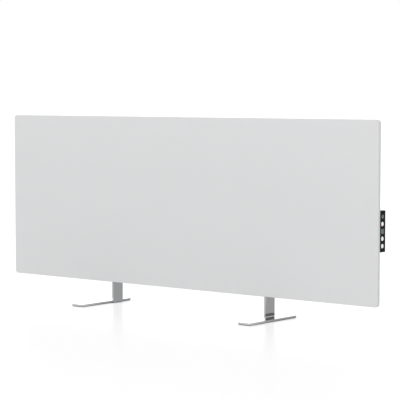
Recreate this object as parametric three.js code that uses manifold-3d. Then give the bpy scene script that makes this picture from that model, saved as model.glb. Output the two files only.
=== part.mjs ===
// A free-standing infrared panel heater: a glass front over a heating film, a pressed steel rear cover,
// a slim control housing behind the right edge, and two folded steel feet.
// Millimetres. +X is to the viewer's right, +Y runs from the glass to the back, +Z is up.
// The origin is on the floor, under the middle of the feet.
import * as THREE from 'three';
import { mergeVertices } from 'three/addons/utils/BufferGeometryUtils.js';
import Module from 'manifold-3d';

const wasm = await Module();
wasm.setup();

// ---------------------------------------------------------------- driving dimensions
const GAP = 0.3; // clearance between pieces that touch

// Panel
const PANEL_WIDTH = 1000;
const PANEL_HEIGHT = 365;
const PANEL_BOTTOM = 50; // height of the panel's lower edge above the floor
const PANEL_CORNER = 7;
const GLASS_FRONT = -2.5; // the glass face, in Y
const GLASS_THICKNESS = 5;
const GLASS_SEAM = 0.8; // ground bevel along the glass edges

// Rear frame, a flat sheet, and the rear cover, a pressed tray that stands on it
const SHEET = 1.2;
const SEAL_THICKNESS = 0.7;
const SEAL_WIDTH = 12;
const TRAY_INSET = 20; // from the panel's edge to the foot of the tray wall
const TRAY_DEPTH = 9.8; // from the frame's back to the tray's back
const TRAY_SLOPE = 6; // how far the wall leans inwards over that depth
const TRAY_EDGE_RADIUS = 1.4;
const TRAY_CORNER = 16;
const TRAY_LIP = 5; // the lip turned in at the foot of the wall
const NOTCH_LEFT = 428; // the bay in the tray that the control housing sits in
const NOTCH_ABOVE = 49; // from the housing's middle to the bay's top
const NOTCH_BELOW = 71; // and to its bottom, with room for the mains lead
const NOTCH_CORNER = 5;
const BEAD_LENGTH = 620;
const BEAD_HEIGHT = 2;
const BEAD_LEVELS = [188, 232.5, 277]; // heights above the floor
const VENT_LENGTH = 26;
const VENT_WIDTH = 3;
const VENT_PITCH = 34;
const VENT_ROWS = [{ z: 96, count: 9 }, { z: 372, count: 13 }];

// Heating pack
const FILM_THICKNESS = 0.5;
const BUS_BAR_WIDTH = 8;
const BUS_BAR_THICKNESS = 0.3;
const INSULATION_THICKNESS = 6;
const PACK = { half: 452, margin: 46, bayLeft: 380, bayBottom: 114, bayTop: 300 }; // the bay is for the leads
const CUTOUT = { x: 404, bottom: 262, top: 284, leadLevel: 7.4 };

// Control housing
const CONTROL_CENTRE = 198; // height of the display's middle
const CONTROL_HEIGHT = 81.5;
const CONTROL_DEPTH = 17.8;
const CONTROL_LEFT = 432;
const CONTROL_WALL = 1.8;
const FASCIA_THICKNESS = 2;
const FASCIA_FACE = 499.3; // the fascia's outer face, in X
const FASCIA_SETBACK = 0.6; // from the housing's front to the fascia's
const KEY_Y = 13.8;
const KEY_PITCH = 14.4;
const BUTTON_RADIUS = 4.6;
const BUTTON_FACE = 499.9;
const BUTTON_TRAVEL = 0.8;
const WINDOW_SIZE = 11;

// Leads from the control housing into the cover
const LEAD_RADIUS = 1.1;
const LEAD_OFFSETS = [-4, 0, 4]; // neutral, earth and live, from the housing's middle height
const GROMMET_Y = 10.4;
const TERMINAL = { left: 447, y: 13.4 };
const EARTH_STUD = { x: 400, z: CONTROL_CENTRE };
const GLAND = { x: 451, y: 13.65, radius: 4.5, bore: 3.4 };

// Feet
const FOOT_SHEET = 3;
const FOOT_LENGTH = 159;
const FOOT_INNER_EDGE = 219; // inner edge of the base plate, from the middle of the panel
const FOOT_BASE_WIDTH = 27;
const FOOT_CORNER = 4;
const FOOT_BEND = 5; // inside radius of the bend between the base and the upright
const POST_FRONT = 15.1;
const POST_DEPTH = 30.7;
const POST_TOP = 152;
const POST_TAPER_LEVEL = 78; // above it the upright narrows to its top
const POST_TOP_DEPTH = 16;
const FLANGE_BOTTOM = 86;
const FLANGE_WIDTH = 30;
const FLANGE_BEND = 2;
const PAD = { height: 1, width: 23, length: 72, inset: 2 };
const FOOT_SCREW_HEIGHTS = [102, 136];
const FOOT_SCREW_RADIUS = 2.3;
const BOSS_RADIUS = 4; // the threaded bosses inside the tray that the foot screws turn into
const BOSS_HEIGHT = 2.2;

// Hanger brackets
const HANGER_X = 300;
const HANGER_Z = 340;
const HANGER_HEIGHT = 56;
const HANGER_STANDOFF = 6.8;
const KEYHOLE_RADIUS = 5;
const KEYHOLE_SLOT = 5;

// ---------------------------------------------------------------- levels worked out from them
const PANEL_MIDDLE = PANEL_BOTTOM + PANEL_HEIGHT / 2;
const GLASS_BACK = GLASS_FRONT + GLASS_THICKNESS;
const SEAL_FRONT = GLASS_BACK + GAP;
const RIM_FRONT = SEAL_FRONT + SEAL_THICKNESS + GAP;
const RIM_BACK = RIM_FRONT + SHEET;
const TRAY_FRONT = RIM_BACK + GAP;
const TRAY_BACK = RIM_BACK + TRAY_DEPTH;
const TRAY_INSIDE = TRAY_BACK - SHEET;
const FILM_BACK = SEAL_FRONT + FILM_THICKNESS;
const BUS_FRONT = FILM_BACK + GAP;
const BUS_BACK = BUS_FRONT + BUS_BAR_THICKNESS;
const FOIL_FRONT = BUS_BACK + GAP;
const FOIL_BACK = FOIL_FRONT + 0.3;
const INSULATION_FRONT = FOIL_BACK + GAP;
const INSULATION_BACK = INSULATION_FRONT + INSULATION_THICKNESS;
const LEAD_LEVEL = (INSULATION_BACK + TRAY_INSIDE) / 2;
const HOUSING_FRONT = RIM_BACK + GAP;
const HOUSING_BACK = HOUSING_FRONT + CONTROL_DEPTH;
const LID_FRONT = HOUSING_BACK - CONTROL_WALL;
const HOUSING_FLOOR = HOUSING_FRONT + CONTROL_WALL;
const HOUSING_BOTTOM = CONTROL_CENTRE - CONTROL_HEIGHT / 2;
const HOUSING_TOP = CONTROL_CENTRE + CONTROL_HEIGHT / 2;
const FASCIA_BACK = FASCIA_FACE - FASCIA_THICKNESS;
const HOUSING_RIGHT = FASCIA_BACK - GAP;
const FOOT_BOTTOM = PAD.height + GAP;

const FINE = 3; // steps in an eighth of a turn
const MEDIUM = 2;
const COARSE = 1;

// ---------------------------------------------------------------- finishes
function finish(colour, roughness, metalness) {
  return new THREE.MeshStandardMaterial({ color: colour, roughness, metalness });
}

const finishes = {
  whiteGlass: finish(0xd9dadb, 0.25, 0),
  paleSilicone: finish(0xc9cac9, 0.6, 0),
  paintedSteel: finish(0xd2d3d3, 0.5, 0.1),
  polishedSteel: finish(0x9a9b9d, 0.2, 1),
  glossBlack: finish(0x17181a, 0.1, 0),
  mattBlack: finish(0x222325, 0.6, 0),
  whitePlastic: finish(0xf4f4f4, 0.35, 0),
  displayTint: finish(0x5f7268, 0.15, 0),
  smokeTint: finish(0x55585a, 0.2, 0),
  blackRubber: finish(0x1c1c1c, 0.9, 0),
  carbonFilm: finish(0x2b2b2d, 0.5, 0),
  copper: finish(0xb87350, 0.35, 1),
  foil: finish(0xc8cacc, 0.3, 1),
  mineralWool: finish(0xe6e2d8, 0.95, 0),
  brownPvc: finish(0x6b4026, 0.5, 0),
  bluePvc: finish(0x2f5aa8, 0.5, 0),
  greenPvc: finish(0x4f9a3d, 0.5, 0),
  circuitGreen: finish(0x1f5b3a, 0.5, 0),
  zincSteel: finish(0xb4b6b8, 0.35, 1),
  brass: finish(0xb99a56, 0.35, 1),
  bluePlastic: finish(0x2b4f8c, 0.45, 0),
};

const heater = new THREE.Group();
heater.name = 'infrared_panel_heater';

function piece(name, geometry, material) {
  const mesh = new THREE.Mesh(geometry, material);
  mesh.name = name;
  heater.add(mesh);
  return mesh;
}

// ---------------------------------------------------------------- solids
function solid(geometry) {
  const bare = geometry.index ? geometry.toNonIndexed() : geometry.clone();
  bare.deleteAttribute('normal');
  bare.deleteAttribute('uv');
  const merged = mergeVertices(bare, 1e-4);
  return new wasm.Manifold(
    new wasm.Mesh({
      numProp: 3,
      vertProperties: merged.attributes.position.array,
      triVerts: new Uint32Array(merged.index.array),
    }),
  );
}

function surface(manifold) {
  const mesh = manifold.getMesh();
  const geometry = new THREE.BufferGeometry();
  geometry.setAttribute('position', new THREE.BufferAttribute(mesh.vertProperties, 3));
  geometry.setIndex(new THREE.BufferAttribute(mesh.triVerts, 1));
  geometry.computeVertexNormals();
  return geometry;
}

function join(...geometries) {
  return surface(geometries.map(solid).reduce((whole, part) => whole.add(part)));
}

function cut(geometry, ...tools) {
  return surface(tools.map(solid).reduce((rest, tool) => rest.subtract(tool), solid(geometry)));
}

// ---------------------------------------------------------------- outlines
// A closed polygon whose corners are rounded by arcs; radius is one number or one per corner.
function roundedOutline(corners, radius) {
  const count = corners.length;
  const points = corners.map(([u, v]) => new THREE.Vector2(u, v));
  const shape = new THREE.Shape();
  points.forEach((corner, i) => {
    const before = points[(i + count - 1) % count];
    const after = points[(i + 1) % count];
    const r = Array.isArray(radius) ? radius[i] : radius;
    if (r === 0) {
      if (i === 0) shape.moveTo(corner.x, corner.y);
      else shape.lineTo(corner.x, corner.y);
      return;
    }
    const back = before.clone().sub(corner).normalize();
    const ahead = after.clone().sub(corner).normalize();
    const half = Math.acos(THREE.MathUtils.clamp(back.dot(ahead), -1, 1)) / 2;
    const start = corner.clone().addScaledVector(back, r / Math.tan(half));
    const bisector = back.clone().add(ahead).normalize();
    const centre = corner.clone().addScaledVector(bisector, r / Math.sin(half));
    const end = corner.clone().addScaledVector(ahead, r / Math.tan(half));
    const turnsLeft = back.cross(ahead) < 0;
    if (i === 0) shape.moveTo(start.x, start.y);
    else shape.lineTo(start.x, start.y);
    shape.absarc(
      centre.x,
      centre.y,
      r,
      Math.atan2(start.y - centre.y, start.x - centre.x),
      Math.atan2(end.y - centre.y, end.x - centre.x),
      !turnsLeft,
    );
  });
  shape.closePath();
  return shape;
}

function rectangle(u0, v0, u1, v1, radius = 0) {
  return roundedOutline([[u0, v0], [u1, v0], [u1, v1], [u0, v1]], radius);
}

function disc(u, v, radius) {
  return new THREE.Shape().absarc(u, v, radius, 0, 2 * Math.PI, false);
}

// A slot with round ends, its length along u.
function stadium(u, v, length, width) {
  return rectangle(u - length / 2, v - width / 2, u + length / 2, v + width / 2, width / 2 - 0.01);
}

// The section of a folded sheet: a centre line through the given corners, rounded at each bend.
function foldedSection(corners, thickness, insideRadius, steps = 6) {
  const r = insideRadius + thickness / 2;
  const points = corners.map(([u, v]) => new THREE.Vector2(u, v));
  const line = [];
  points.forEach((corner, i) => {
    if (i === 0 || i === points.length - 1) {
      line.push(corner);
      return;
    }
    const back = points[i - 1].clone().sub(corner).normalize();
    const ahead = points[i + 1].clone().sub(corner).normalize();
    const half = Math.acos(THREE.MathUtils.clamp(back.dot(ahead), -1, 1)) / 2;
    const centre = corner.clone().addScaledVector(back.clone().add(ahead).normalize(), r / Math.sin(half));
    const start = corner.clone().addScaledVector(back, r / Math.tan(half)).sub(centre);
    const sweep = (Math.PI - 2 * half) * (back.cross(ahead) < 0 ? 1 : -1);
    for (let k = 0; k <= steps; k += 1) {
      line.push(start.clone().rotateAround(new THREE.Vector2(), (sweep * k) / steps).add(centre));
    }
  });
  const sides = [1, -1].map((side) => line.map((point, i) => {
    const along = line[Math.min(i + 1, line.length - 1)].clone().sub(line[Math.max(i - 1, 0)]).normalize();
    const normal = new THREE.Vector2(-along.y, along.x);
    return point.clone().addScaledVector(normal, (side * thickness) / 2);
  }));
  return new THREE.Shape([...sides[0], ...sides[1].reverse()]);
}

// ---------------------------------------------------------------- extrusions
const AXES = {
  x: new THREE.Matrix4().makeBasis(
    new THREE.Vector3(0, 1, 0), new THREE.Vector3(0, 0, 1), new THREE.Vector3(1, 0, 0)),
  y: new THREE.Matrix4().makeBasis(
    new THREE.Vector3(1, 0, 0), new THREE.Vector3(0, 0, 1), new THREE.Vector3(0, -1, 0)),
  z: new THREE.Matrix4(),
};

// A shape drawn across an axis (YZ for x, XZ for y, XY for z) and extruded along it between two levels.
function slab(axis, shape, from, to, { bevel = 0, curveSegments = FINE } = {}) {
  const edges = bevel
    ? { bevelThickness: bevel, bevelSize: bevel, bevelOffset: -bevel, bevelSegments: 1 }
    : { bevelEnabled: false };
  const depth = to - from - 2 * bevel;
  const geometry = new THREE.ExtrudeGeometry(shape, { ...edges, curveSegments, depth });
  geometry.translate(0, 0, axis === 'y' ? -to + bevel : from + bevel);
  return geometry.applyMatrix4(AXES[axis]);
}

function block(x0, x1, y0, y1, z0, z1, radius = 0) {
  return slab('y', rectangle(x0, z0, x1, z1, radius), y0, y1, { curveSegments: COARSE });
}

// A turned piece: [radius, level] points from the axis out and back to it, along an axis through a point.
const TURNS = {
  x: (g) => g.rotateZ(-Math.PI / 2),
  y: (g) => g,
  z: (g) => g.rotateX(Math.PI / 2),
};

function turned(axis, profile, centre, segments = 20) {
  const points = profile.map(([radius, level]) => new THREE.Vector2(radius, level));
  const geometry = TURNS[axis](new THREE.LatheGeometry(points, segments));
  return geometry.translate(...centre);
}

function rod(axis, radius, from, to, u, v, segments = 20) {
  const centre = { x: [0, u, v], y: [u, 0, v], z: [u, v, 0] }[axis];
  return turned(axis, [[0, from], [radius, from], [radius, to], [0, to]], centre, segments);
}

// A body whose outline changes from level to level along Y.
function loft(rings) {
  const outlines = rings.map(({ shape, level }) => shape.getPoints(MEDIUM)
    .filter((point, i, all) => i === 0 || point.distanceTo(all[i - 1]) > 1e-6)
    .filter((point, i, all) => i === 0 || point.distanceTo(all[0]) > 1e-6)
    .map((point) => [point.x, level, point.y]));
  const size = outlines[0].length;
  const positions = outlines.flat(2);
  const index = [];
  for (let k = 0; k + 1 < outlines.length; k += 1) {
    for (let i = 0; i < size; i += 1) {
      const a = k * size + i;
      const b = k * size + ((i + 1) % size);
      index.push(a, a + size, b, b, a + size, b + size);
    }
  }
  [0, outlines.length - 1].forEach((k) => {
    const flat = outlines[k].map(([x, , z]) => new THREE.Vector2(x, z));
    THREE.ShapeUtils.triangulateShape(flat, []).forEach(([a, b, c]) => {
      const face = k === 0 ? [a, b, c] : [a, c, b];
      index.push(...face.map((corner) => corner + k * size));
    });
  });
  const geometry = new THREE.BufferGeometry();
  geometry.setAttribute('position', new THREE.Float32BufferAttribute(positions, 3));
  geometry.setIndex(index);
  return geometry;
}

// A round wire along straight runs joined by bends, its length cut into steps of about 4 mm.
function wire(corners, bend) {
  const points = corners.map((corner) => new THREE.Vector3(...corner));
  const path = new THREE.CurvePath();
  let from = points[0];
  points.slice(1, -1).forEach((corner, i) => {
    const before = points[i].clone().sub(corner).setLength(bend).add(corner);
    const after = points[i + 2].clone().sub(corner).setLength(bend).add(corner);
    path.add(new THREE.LineCurve3(from, before));
    path.add(new THREE.QuadraticBezierCurve3(before, corner, after));
    from = after;
  });
  path.add(new THREE.LineCurve3(from, points.at(-1)));
  const steps = Math.round(path.getLength() / 4);
  return new THREE.ExtrudeGeometry(disc(0, 0, LEAD_RADIUS), { steps, extrudePath: path, curveSegments: 3 });
}

// ---------------------------------------------------------------- front panel and heating pack
function panelOutline(inset, corner = PANEL_CORNER) {
  const half = PANEL_WIDTH / 2 - inset;
  return rectangle(-half, PANEL_BOTTOM + inset, half, PANEL_BOTTOM + PANEL_HEIGHT - inset, corner);
}

function makeFrontPanel() {
  piece('front_glass', slab('y', panelOutline(0), GLASS_FRONT, GLASS_BACK, { bevel: GLASS_SEAM }),
    finishes.whiteGlass);
  const ring = panelOutline(0.5, PANEL_CORNER - 0.5);
  ring.holes.push(panelOutline(SEAL_WIDTH, 2));
  piece('edge_seal', slab('y', ring, SEAL_FRONT, SEAL_FRONT + SEAL_THICKNESS), finishes.paleSilicone);
}

// The pack's outline is open on the right, where the leads, the cut-out and the earth stud are.
function packOutline(inset) {
  const { half, margin, bayLeft, bayBottom, bayTop } = PACK;
  const left = -half + inset;
  const right = half - inset;
  const bottom = PANEL_BOTTOM + margin + inset;
  const top = PANEL_BOTTOM + PANEL_HEIGHT - margin - inset;
  return roundedOutline([
    [left, bottom], [right, bottom], [right, bayBottom - inset], [bayLeft - inset, bayBottom - inset],
    [bayLeft - inset, bayTop + inset], [right, bayTop + inset], [right, top], [left, top],
  ], 0);
}

function makeHeatingPack() {
  const { half, margin } = PACK;
  const filmReach = 12;
  piece('heating_film', block(-half - filmReach, half + filmReach, SEAL_FRONT, FILM_BACK,
    PANEL_BOTTOM + margin - 22, PANEL_BOTTOM + PANEL_HEIGHT - margin + 22), finishes.carbonFilm);
  const barOffset = PANEL_HEIGHT / 2 - margin + 9;
  [['upper_bus_bar', barOffset], ['lower_bus_bar', -barOffset]].forEach(([name, offset]) => {
    const z = PANEL_MIDDLE + offset;
    piece(name, block(-half, half, BUS_FRONT, BUS_BACK, z - BUS_BAR_WIDTH / 2, z + BUS_BAR_WIDTH / 2),
      finishes.copper);
  });
  piece('reflector_foil', slab('y', packOutline(0), FOIL_FRONT, FOIL_BACK), finishes.foil);
  piece('insulation_board', slab('y', packOutline(1), INSULATION_FRONT, INSULATION_BACK),
    finishes.mineralWool);
}

// ---------------------------------------------------------------- rear cover
// The tray's outline at a given inset from the panel's edge, with the bay for the control housing.
function trayOutline(inset) {
  const lean = inset - TRAY_INSET;
  const left = -PANEL_WIDTH / 2 + inset;
  const right = PANEL_WIDTH / 2 - inset;
  const bottom = PANEL_BOTTOM + inset;
  const top = PANEL_BOTTOM + PANEL_HEIGHT - inset;
  const bayBottom = CONTROL_CENTRE - NOTCH_BELOW - lean;
  const bayTop = CONTROL_CENTRE + NOTCH_ABOVE + lean;
  const bayLeft = NOTCH_LEFT - lean;
  const outer = TRAY_CORNER - lean / 2;
  const inner = NOTCH_CORNER + lean / 2;
  return roundedOutline([
    [left, bottom], [right, bottom], [right, bayBottom], [bayLeft, bayBottom],
    [bayLeft, bayTop], [right, bayTop], [right, top], [left, top],
  ], [outer, outer, outer / 2, inner, inner, outer / 2, outer, outer]);
}

// The wall and the back, with a rounded shoulder.
function trayBody(from, to, shrink) {
  const lean = TRAY_SLOPE / TRAY_DEPTH;
  const insetAt = (level) => TRAY_INSET + shrink + (level - RIM_BACK) * lean;
  const shoulder = to - TRAY_EDGE_RADIUS;
  const rings = [
    { level: from, inset: insetAt(from) },
    { level: shoulder, inset: insetAt(shoulder) },
  ];
  [45, 90].forEach((degrees) => {
    const angle = THREE.MathUtils.degToRad(degrees);
    rings.push({
      level: shoulder + TRAY_EDGE_RADIUS * Math.sin(angle),
      inset: insetAt(shoulder) + TRAY_EDGE_RADIUS * (1 - Math.cos(angle)),
    });
  });
  return loft(rings.map(({ level, inset }) => ({ level, shape: trayOutline(inset) })));
}

// A long pressed bead: the outside of it, or the hollow behind it.
function bead(z, outside) {
  const margin = outside ? SHEET : 0;
  const foot = outside ? TRAY_BACK - SHEET / 2 : TRAY_INSIDE - 1;
  const crown = foot + BEAD_HEIGHT + (outside ? SHEET / 2 : 1);
  return loft([[foot, 9 + margin], [crown - 0.6, 6.4 + margin], [crown, 5.6 + margin]].map(
    ([level, half]) => ({ level, shape: stadium(0, z, BEAD_LENGTH - 18 + 2 * half, 2 * half) })));
}

function footScrewSpots() {
  return [['left', -1], ['right', 1]].flatMap(([side, sign]) => FOOT_SCREW_HEIGHTS.map((z, i) => ({
    name: `${side}_foot_screw_${i ? 'upper' : 'lower'}`,
    x: sign * (FOOT_INNER_EDGE - FOOT_BEND - FOOT_SHEET - FLANGE_WIDTH / 2),
    z,
  })));
}

function makeRearFrame() {
  const sheet = panelOutline(0.3, PANEL_CORNER - 0.3);
  sheet.holes.push(trayOutline(TRAY_INSET + SHEET + TRAY_LIP));
  piece('rear_frame', slab('y', sheet, RIM_FRONT, RIM_BACK), finishes.paintedSteel);
}

function makeRearCover() {
  const bosses = footScrewSpots().map(({ x, z }) => (
    rod('y', BOSS_RADIUS, TRAY_INSIDE - BOSS_HEIGHT, TRAY_INSIDE + 0.5, x, z, 12)));
  const hollow = trayBody(TRAY_FRONT + SHEET, TRAY_INSIDE, SHEET + 0.1);
  const mouth = slab('y', trayOutline(TRAY_INSET + SHEET + TRAY_LIP), TRAY_FRONT - 1, TRAY_FRONT + SHEET + 1);
  const tray = cut(trayBody(TRAY_FRONT, TRAY_BACK, 0), join(hollow, mouth));
  const ribbed = cut(
    join(tray, ...BEAD_LEVELS.map((z) => bead(z, true)), ...bosses),
    ...BEAD_LEVELS.map((z) => bead(z, false)),
  );
  const vents = VENT_ROWS.flatMap(({ z, count }) => Array.from({ length: count }, (_, i) => {
    const x = (i - (count - 1) / 2) * VENT_PITCH;
    return slab('y', stadium(x, z, VENT_LENGTH, VENT_WIDTH), TRAY_INSIDE - 1, TRAY_BACK + 1,
      { curveSegments: COARSE });
  }));
  const screwHoles = footScrewSpots().map(({ x, z }) => (
    rod('y', FOOT_SCREW_RADIUS + GAP, TRAY_INSIDE - 3, TRAY_BACK + 1, x, z, 12)));
  const leadHole = slab('x', grommetOval(GAP), NOTCH_LEFT - 12, CONTROL_LEFT);
  piece('rear_cover', cut(ribbed, ...vents, ...screwHoles, leadHole), finishes.paintedSteel);
}

// ---------------------------------------------------------------- hanger brackets
function makeHangerBrackets() {
  const foot = 11;
  const web = 13;
  const level = TRAY_BACK + GAP + SHEET / 2;
  const section = foldedSection([
    [-web - foot, level], [-web, level], [-web + 3, level + HANGER_STANDOFF],
    [web - 3, level + HANGER_STANDOFF], [web, level], [web + foot, level],
  ], SHEET, 1, 3);
  const bottom = HANGER_Z - HANGER_HEIGHT / 2;
  const keyhole = [
    rod('y', KEYHOLE_RADIUS, level - 3, level + 12, 0, HANGER_Z - 8, 16),
    block(-KEYHOLE_SLOT / 2, KEYHOLE_SLOT / 2, level - 3, level + 12, HANGER_Z - 8, HANGER_Z + 12),
    rod('y', KEYHOLE_SLOT / 2, level - 3, level + 12, 0, HANGER_Z + 12, 16),
  ];
  [['left', -1], ['right', 1]].forEach(([side, sign]) => {
    const rivets = [-1, 1].map((edge) => ({ edge, x: edge * (web + foot - 4.5), z: HANGER_Z - 18 * edge }));
    const holes = rivets.map(({ x, z }) => rod('y', 1.6 + GAP, level - 3, level + 3, x, z, 12));
    const strip = slab('z', section, bottom, bottom + HANGER_HEIGHT);
    const bracket = cut(strip, join(...keyhole), ...holes).translate(sign * HANGER_X, 0, 0);
    piece(`${side}_hanger_bracket`, bracket, finishes.zincSteel);
    rivets.forEach(({ edge, x, z }) => {
      const head = level + SHEET / 2 + GAP;
      const profile = [
        [0, TRAY_BACK + GAP], [1.6, TRAY_BACK + GAP], [1.6, head], [3.2, head], [2.9, head + 0.7],
        [1.7, head + 1.3], [0, head + 1.5],
      ];
      piece(`${side}_hanger_rivet_${edge < 0 ? 'a' : 'b'}`,
        turned('y', profile, [sign * HANGER_X + x, 0, z], 12), finishes.zincSteel);
    });
  });
}

// ---------------------------------------------------------------- feet
// One sheet folded three ways: base plate, upright and fixing flange.
function footSheet(sign) {
  const half = FOOT_SHEET / 2;
  const postInner = FOOT_INNER_EDGE - FOOT_BEND - FOOT_SHEET;
  const postMiddle = postInner + half;
  const baseOuter = FOOT_INNER_EDGE + FOOT_BASE_WIDTH;
  const postBack = POST_FRONT + POST_DEPTH;
  const baseMiddle = FOOT_BOTTOM + half;
  const base = slab('z', rectangle(
    Math.min(sign * FOOT_INNER_EDGE, sign * baseOuter), -FOOT_LENGTH / 2,
    Math.max(sign * FOOT_INNER_EDGE, sign * baseOuter), FOOT_LENGTH / 2, FOOT_CORNER,
  ), FOOT_BOTTOM, FOOT_BOTTOM + FOOT_SHEET);
  const upright = slab('y', foldedSection([
    [sign * (FOOT_INNER_EDGE + 8), baseMiddle], [sign * postMiddle, baseMiddle],
    [sign * postMiddle, POST_TOP],
  ], FOOT_SHEET, FOOT_BEND, 8), POST_FRONT, postBack);
  // Seen from the side, the upright is stepped for the flange's bend and tapers above the panel's edge.
  const relief = FLANGE_BEND + FOOT_SHEET;
  const profile = roundedOutline([
    [POST_FRONT - 1, -1], [postBack + 1, -1], [postBack + 1, 1], [postBack, 1],
    [postBack, POST_TAPER_LEVEL], [POST_FRONT + POST_TOP_DEPTH, POST_TOP], [POST_FRONT + relief, POST_TOP],
    [POST_FRONT + relief, FLANGE_BOTTOM - 4], [POST_FRONT - 1, FLANGE_BOTTOM - 4],
  ], [0, 0, 0, 0, 20, 5, 0, 1.5, 0]);
  const side = [sign * (postInner - 1), sign * (FOOT_INNER_EDGE + 9)].sort((a, b) => a - b);
  const flange = slab('z', foldedSection([
    [sign * postMiddle, POST_FRONT + relief + 1], [sign * postMiddle, POST_FRONT + half],
    [sign * (postInner - FLANGE_WIDTH), POST_FRONT + half],
  ], FOOT_SHEET, FLANGE_BEND), FLANGE_BOTTOM, POST_TOP);
  const shaped = surface(solid(upright).intersect(solid(slab('x', profile, ...side))));
  return { base, shaped, flange };
}

function makeFeet() {
  const holes = footScrewSpots();
  [['left', -1], ['right', 1]].forEach(([side, sign]) => {
    const { base, shaped, flange } = footSheet(sign);
    const own = holes.filter(({ name }) => name.startsWith(side));
    const bores = own.map(({ x, z }) => rod('y', FOOT_SCREW_RADIUS + 0.4, POST_FRONT - 1,
      POST_FRONT + FOOT_SHEET + 1, x, z, 16));
    piece(`${side}_foot`, cut(join(base, shaped, flange), ...bores), finishes.polishedSteel);
    [['front', -1], ['rear', 1]].forEach(([end, way]) => {
      const x = sign * (FOOT_INNER_EDGE + FOOT_BASE_WIDTH / 2);
      const y = way * ((FOOT_LENGTH - PAD.length) / 2 - PAD.inset);
      const outline = rectangle(
        x - PAD.width / 2, y - PAD.length / 2, x + PAD.width / 2, y + PAD.length / 2, 2);
      piece(`${side}_foot_pad_${end}`, slab('z', outline, 0, PAD.height, { curveSegments: COARSE }),
        finishes.blackRubber);
    });
  });
  const seat = POST_FRONT + FOOT_SHEET + GAP;
  holes.forEach(({ name, x, z }) => {
    const profile = [
      [0, TRAY_INSIDE - 2.1], [FOOT_SCREW_RADIUS, TRAY_INSIDE - 2.1], [FOOT_SCREW_RADIUS, seat], [5.2, seat],
      [5.2, seat + 1], [4.5, seat + 1], [4.5, seat + 2.6], [3.6, seat + 3.6], [0, seat + 3.9],
    ];
    const socket = turned('y', [[0, seat + 1.8], [1.7, seat + 1.8], [1.7, seat + 5], [0, seat + 5]],
      [x, 0, z], 6);
    piece(name, cut(turned('y', profile, [x, 0, z], 12), socket), finishes.zincSteel);
  });
}

// ---------------------------------------------------------------- control housing
const HOUSING_CORNER = 4;
const LID_SCREWS = [
  { name: 'lid_screw_lower_left', x: CONTROL_LEFT + 5, z: HOUSING_BOTTOM + 5 },
  { name: 'lid_screw_lower_right', x: HOUSING_RIGHT - 5.5, z: HOUSING_BOTTOM + 5 },
  { name: 'lid_screw_upper_left', x: CONTROL_LEFT + 5, z: HOUSING_TOP - 5 },
  { name: 'lid_screw_upper_right', x: HOUSING_RIGHT - 5.5, z: HOUSING_TOP - 5 },
];
const KEY_BOARD_BACK = 482.6;
const BOARD_THICKNESS = 1.6;
const KEY_BOARD_FRONT = KEY_BOARD_BACK + BOARD_THICKNESS;
const STANDOFF = 1.2; // from the housing's floor to the power board, before the gap

function grommetOval(margin) {
  const height = 2 + margin;
  const reach = 6.2 + margin;
  return rectangle(GROMMET_Y - height, CONTROL_CENTRE - reach, GROMMET_Y + height, CONTROL_CENTRE + reach,
    height - 0.01);
}

function housingOutline(right, inset, corner) {
  return roundedOutline([
    [CONTROL_LEFT + inset, HOUSING_BOTTOM + inset], [right, HOUSING_BOTTOM + inset],
    [right, HOUSING_TOP - inset], [CONTROL_LEFT + inset, HOUSING_TOP - inset],
  ], [corner, 0, 0, corner]);
}

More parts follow.
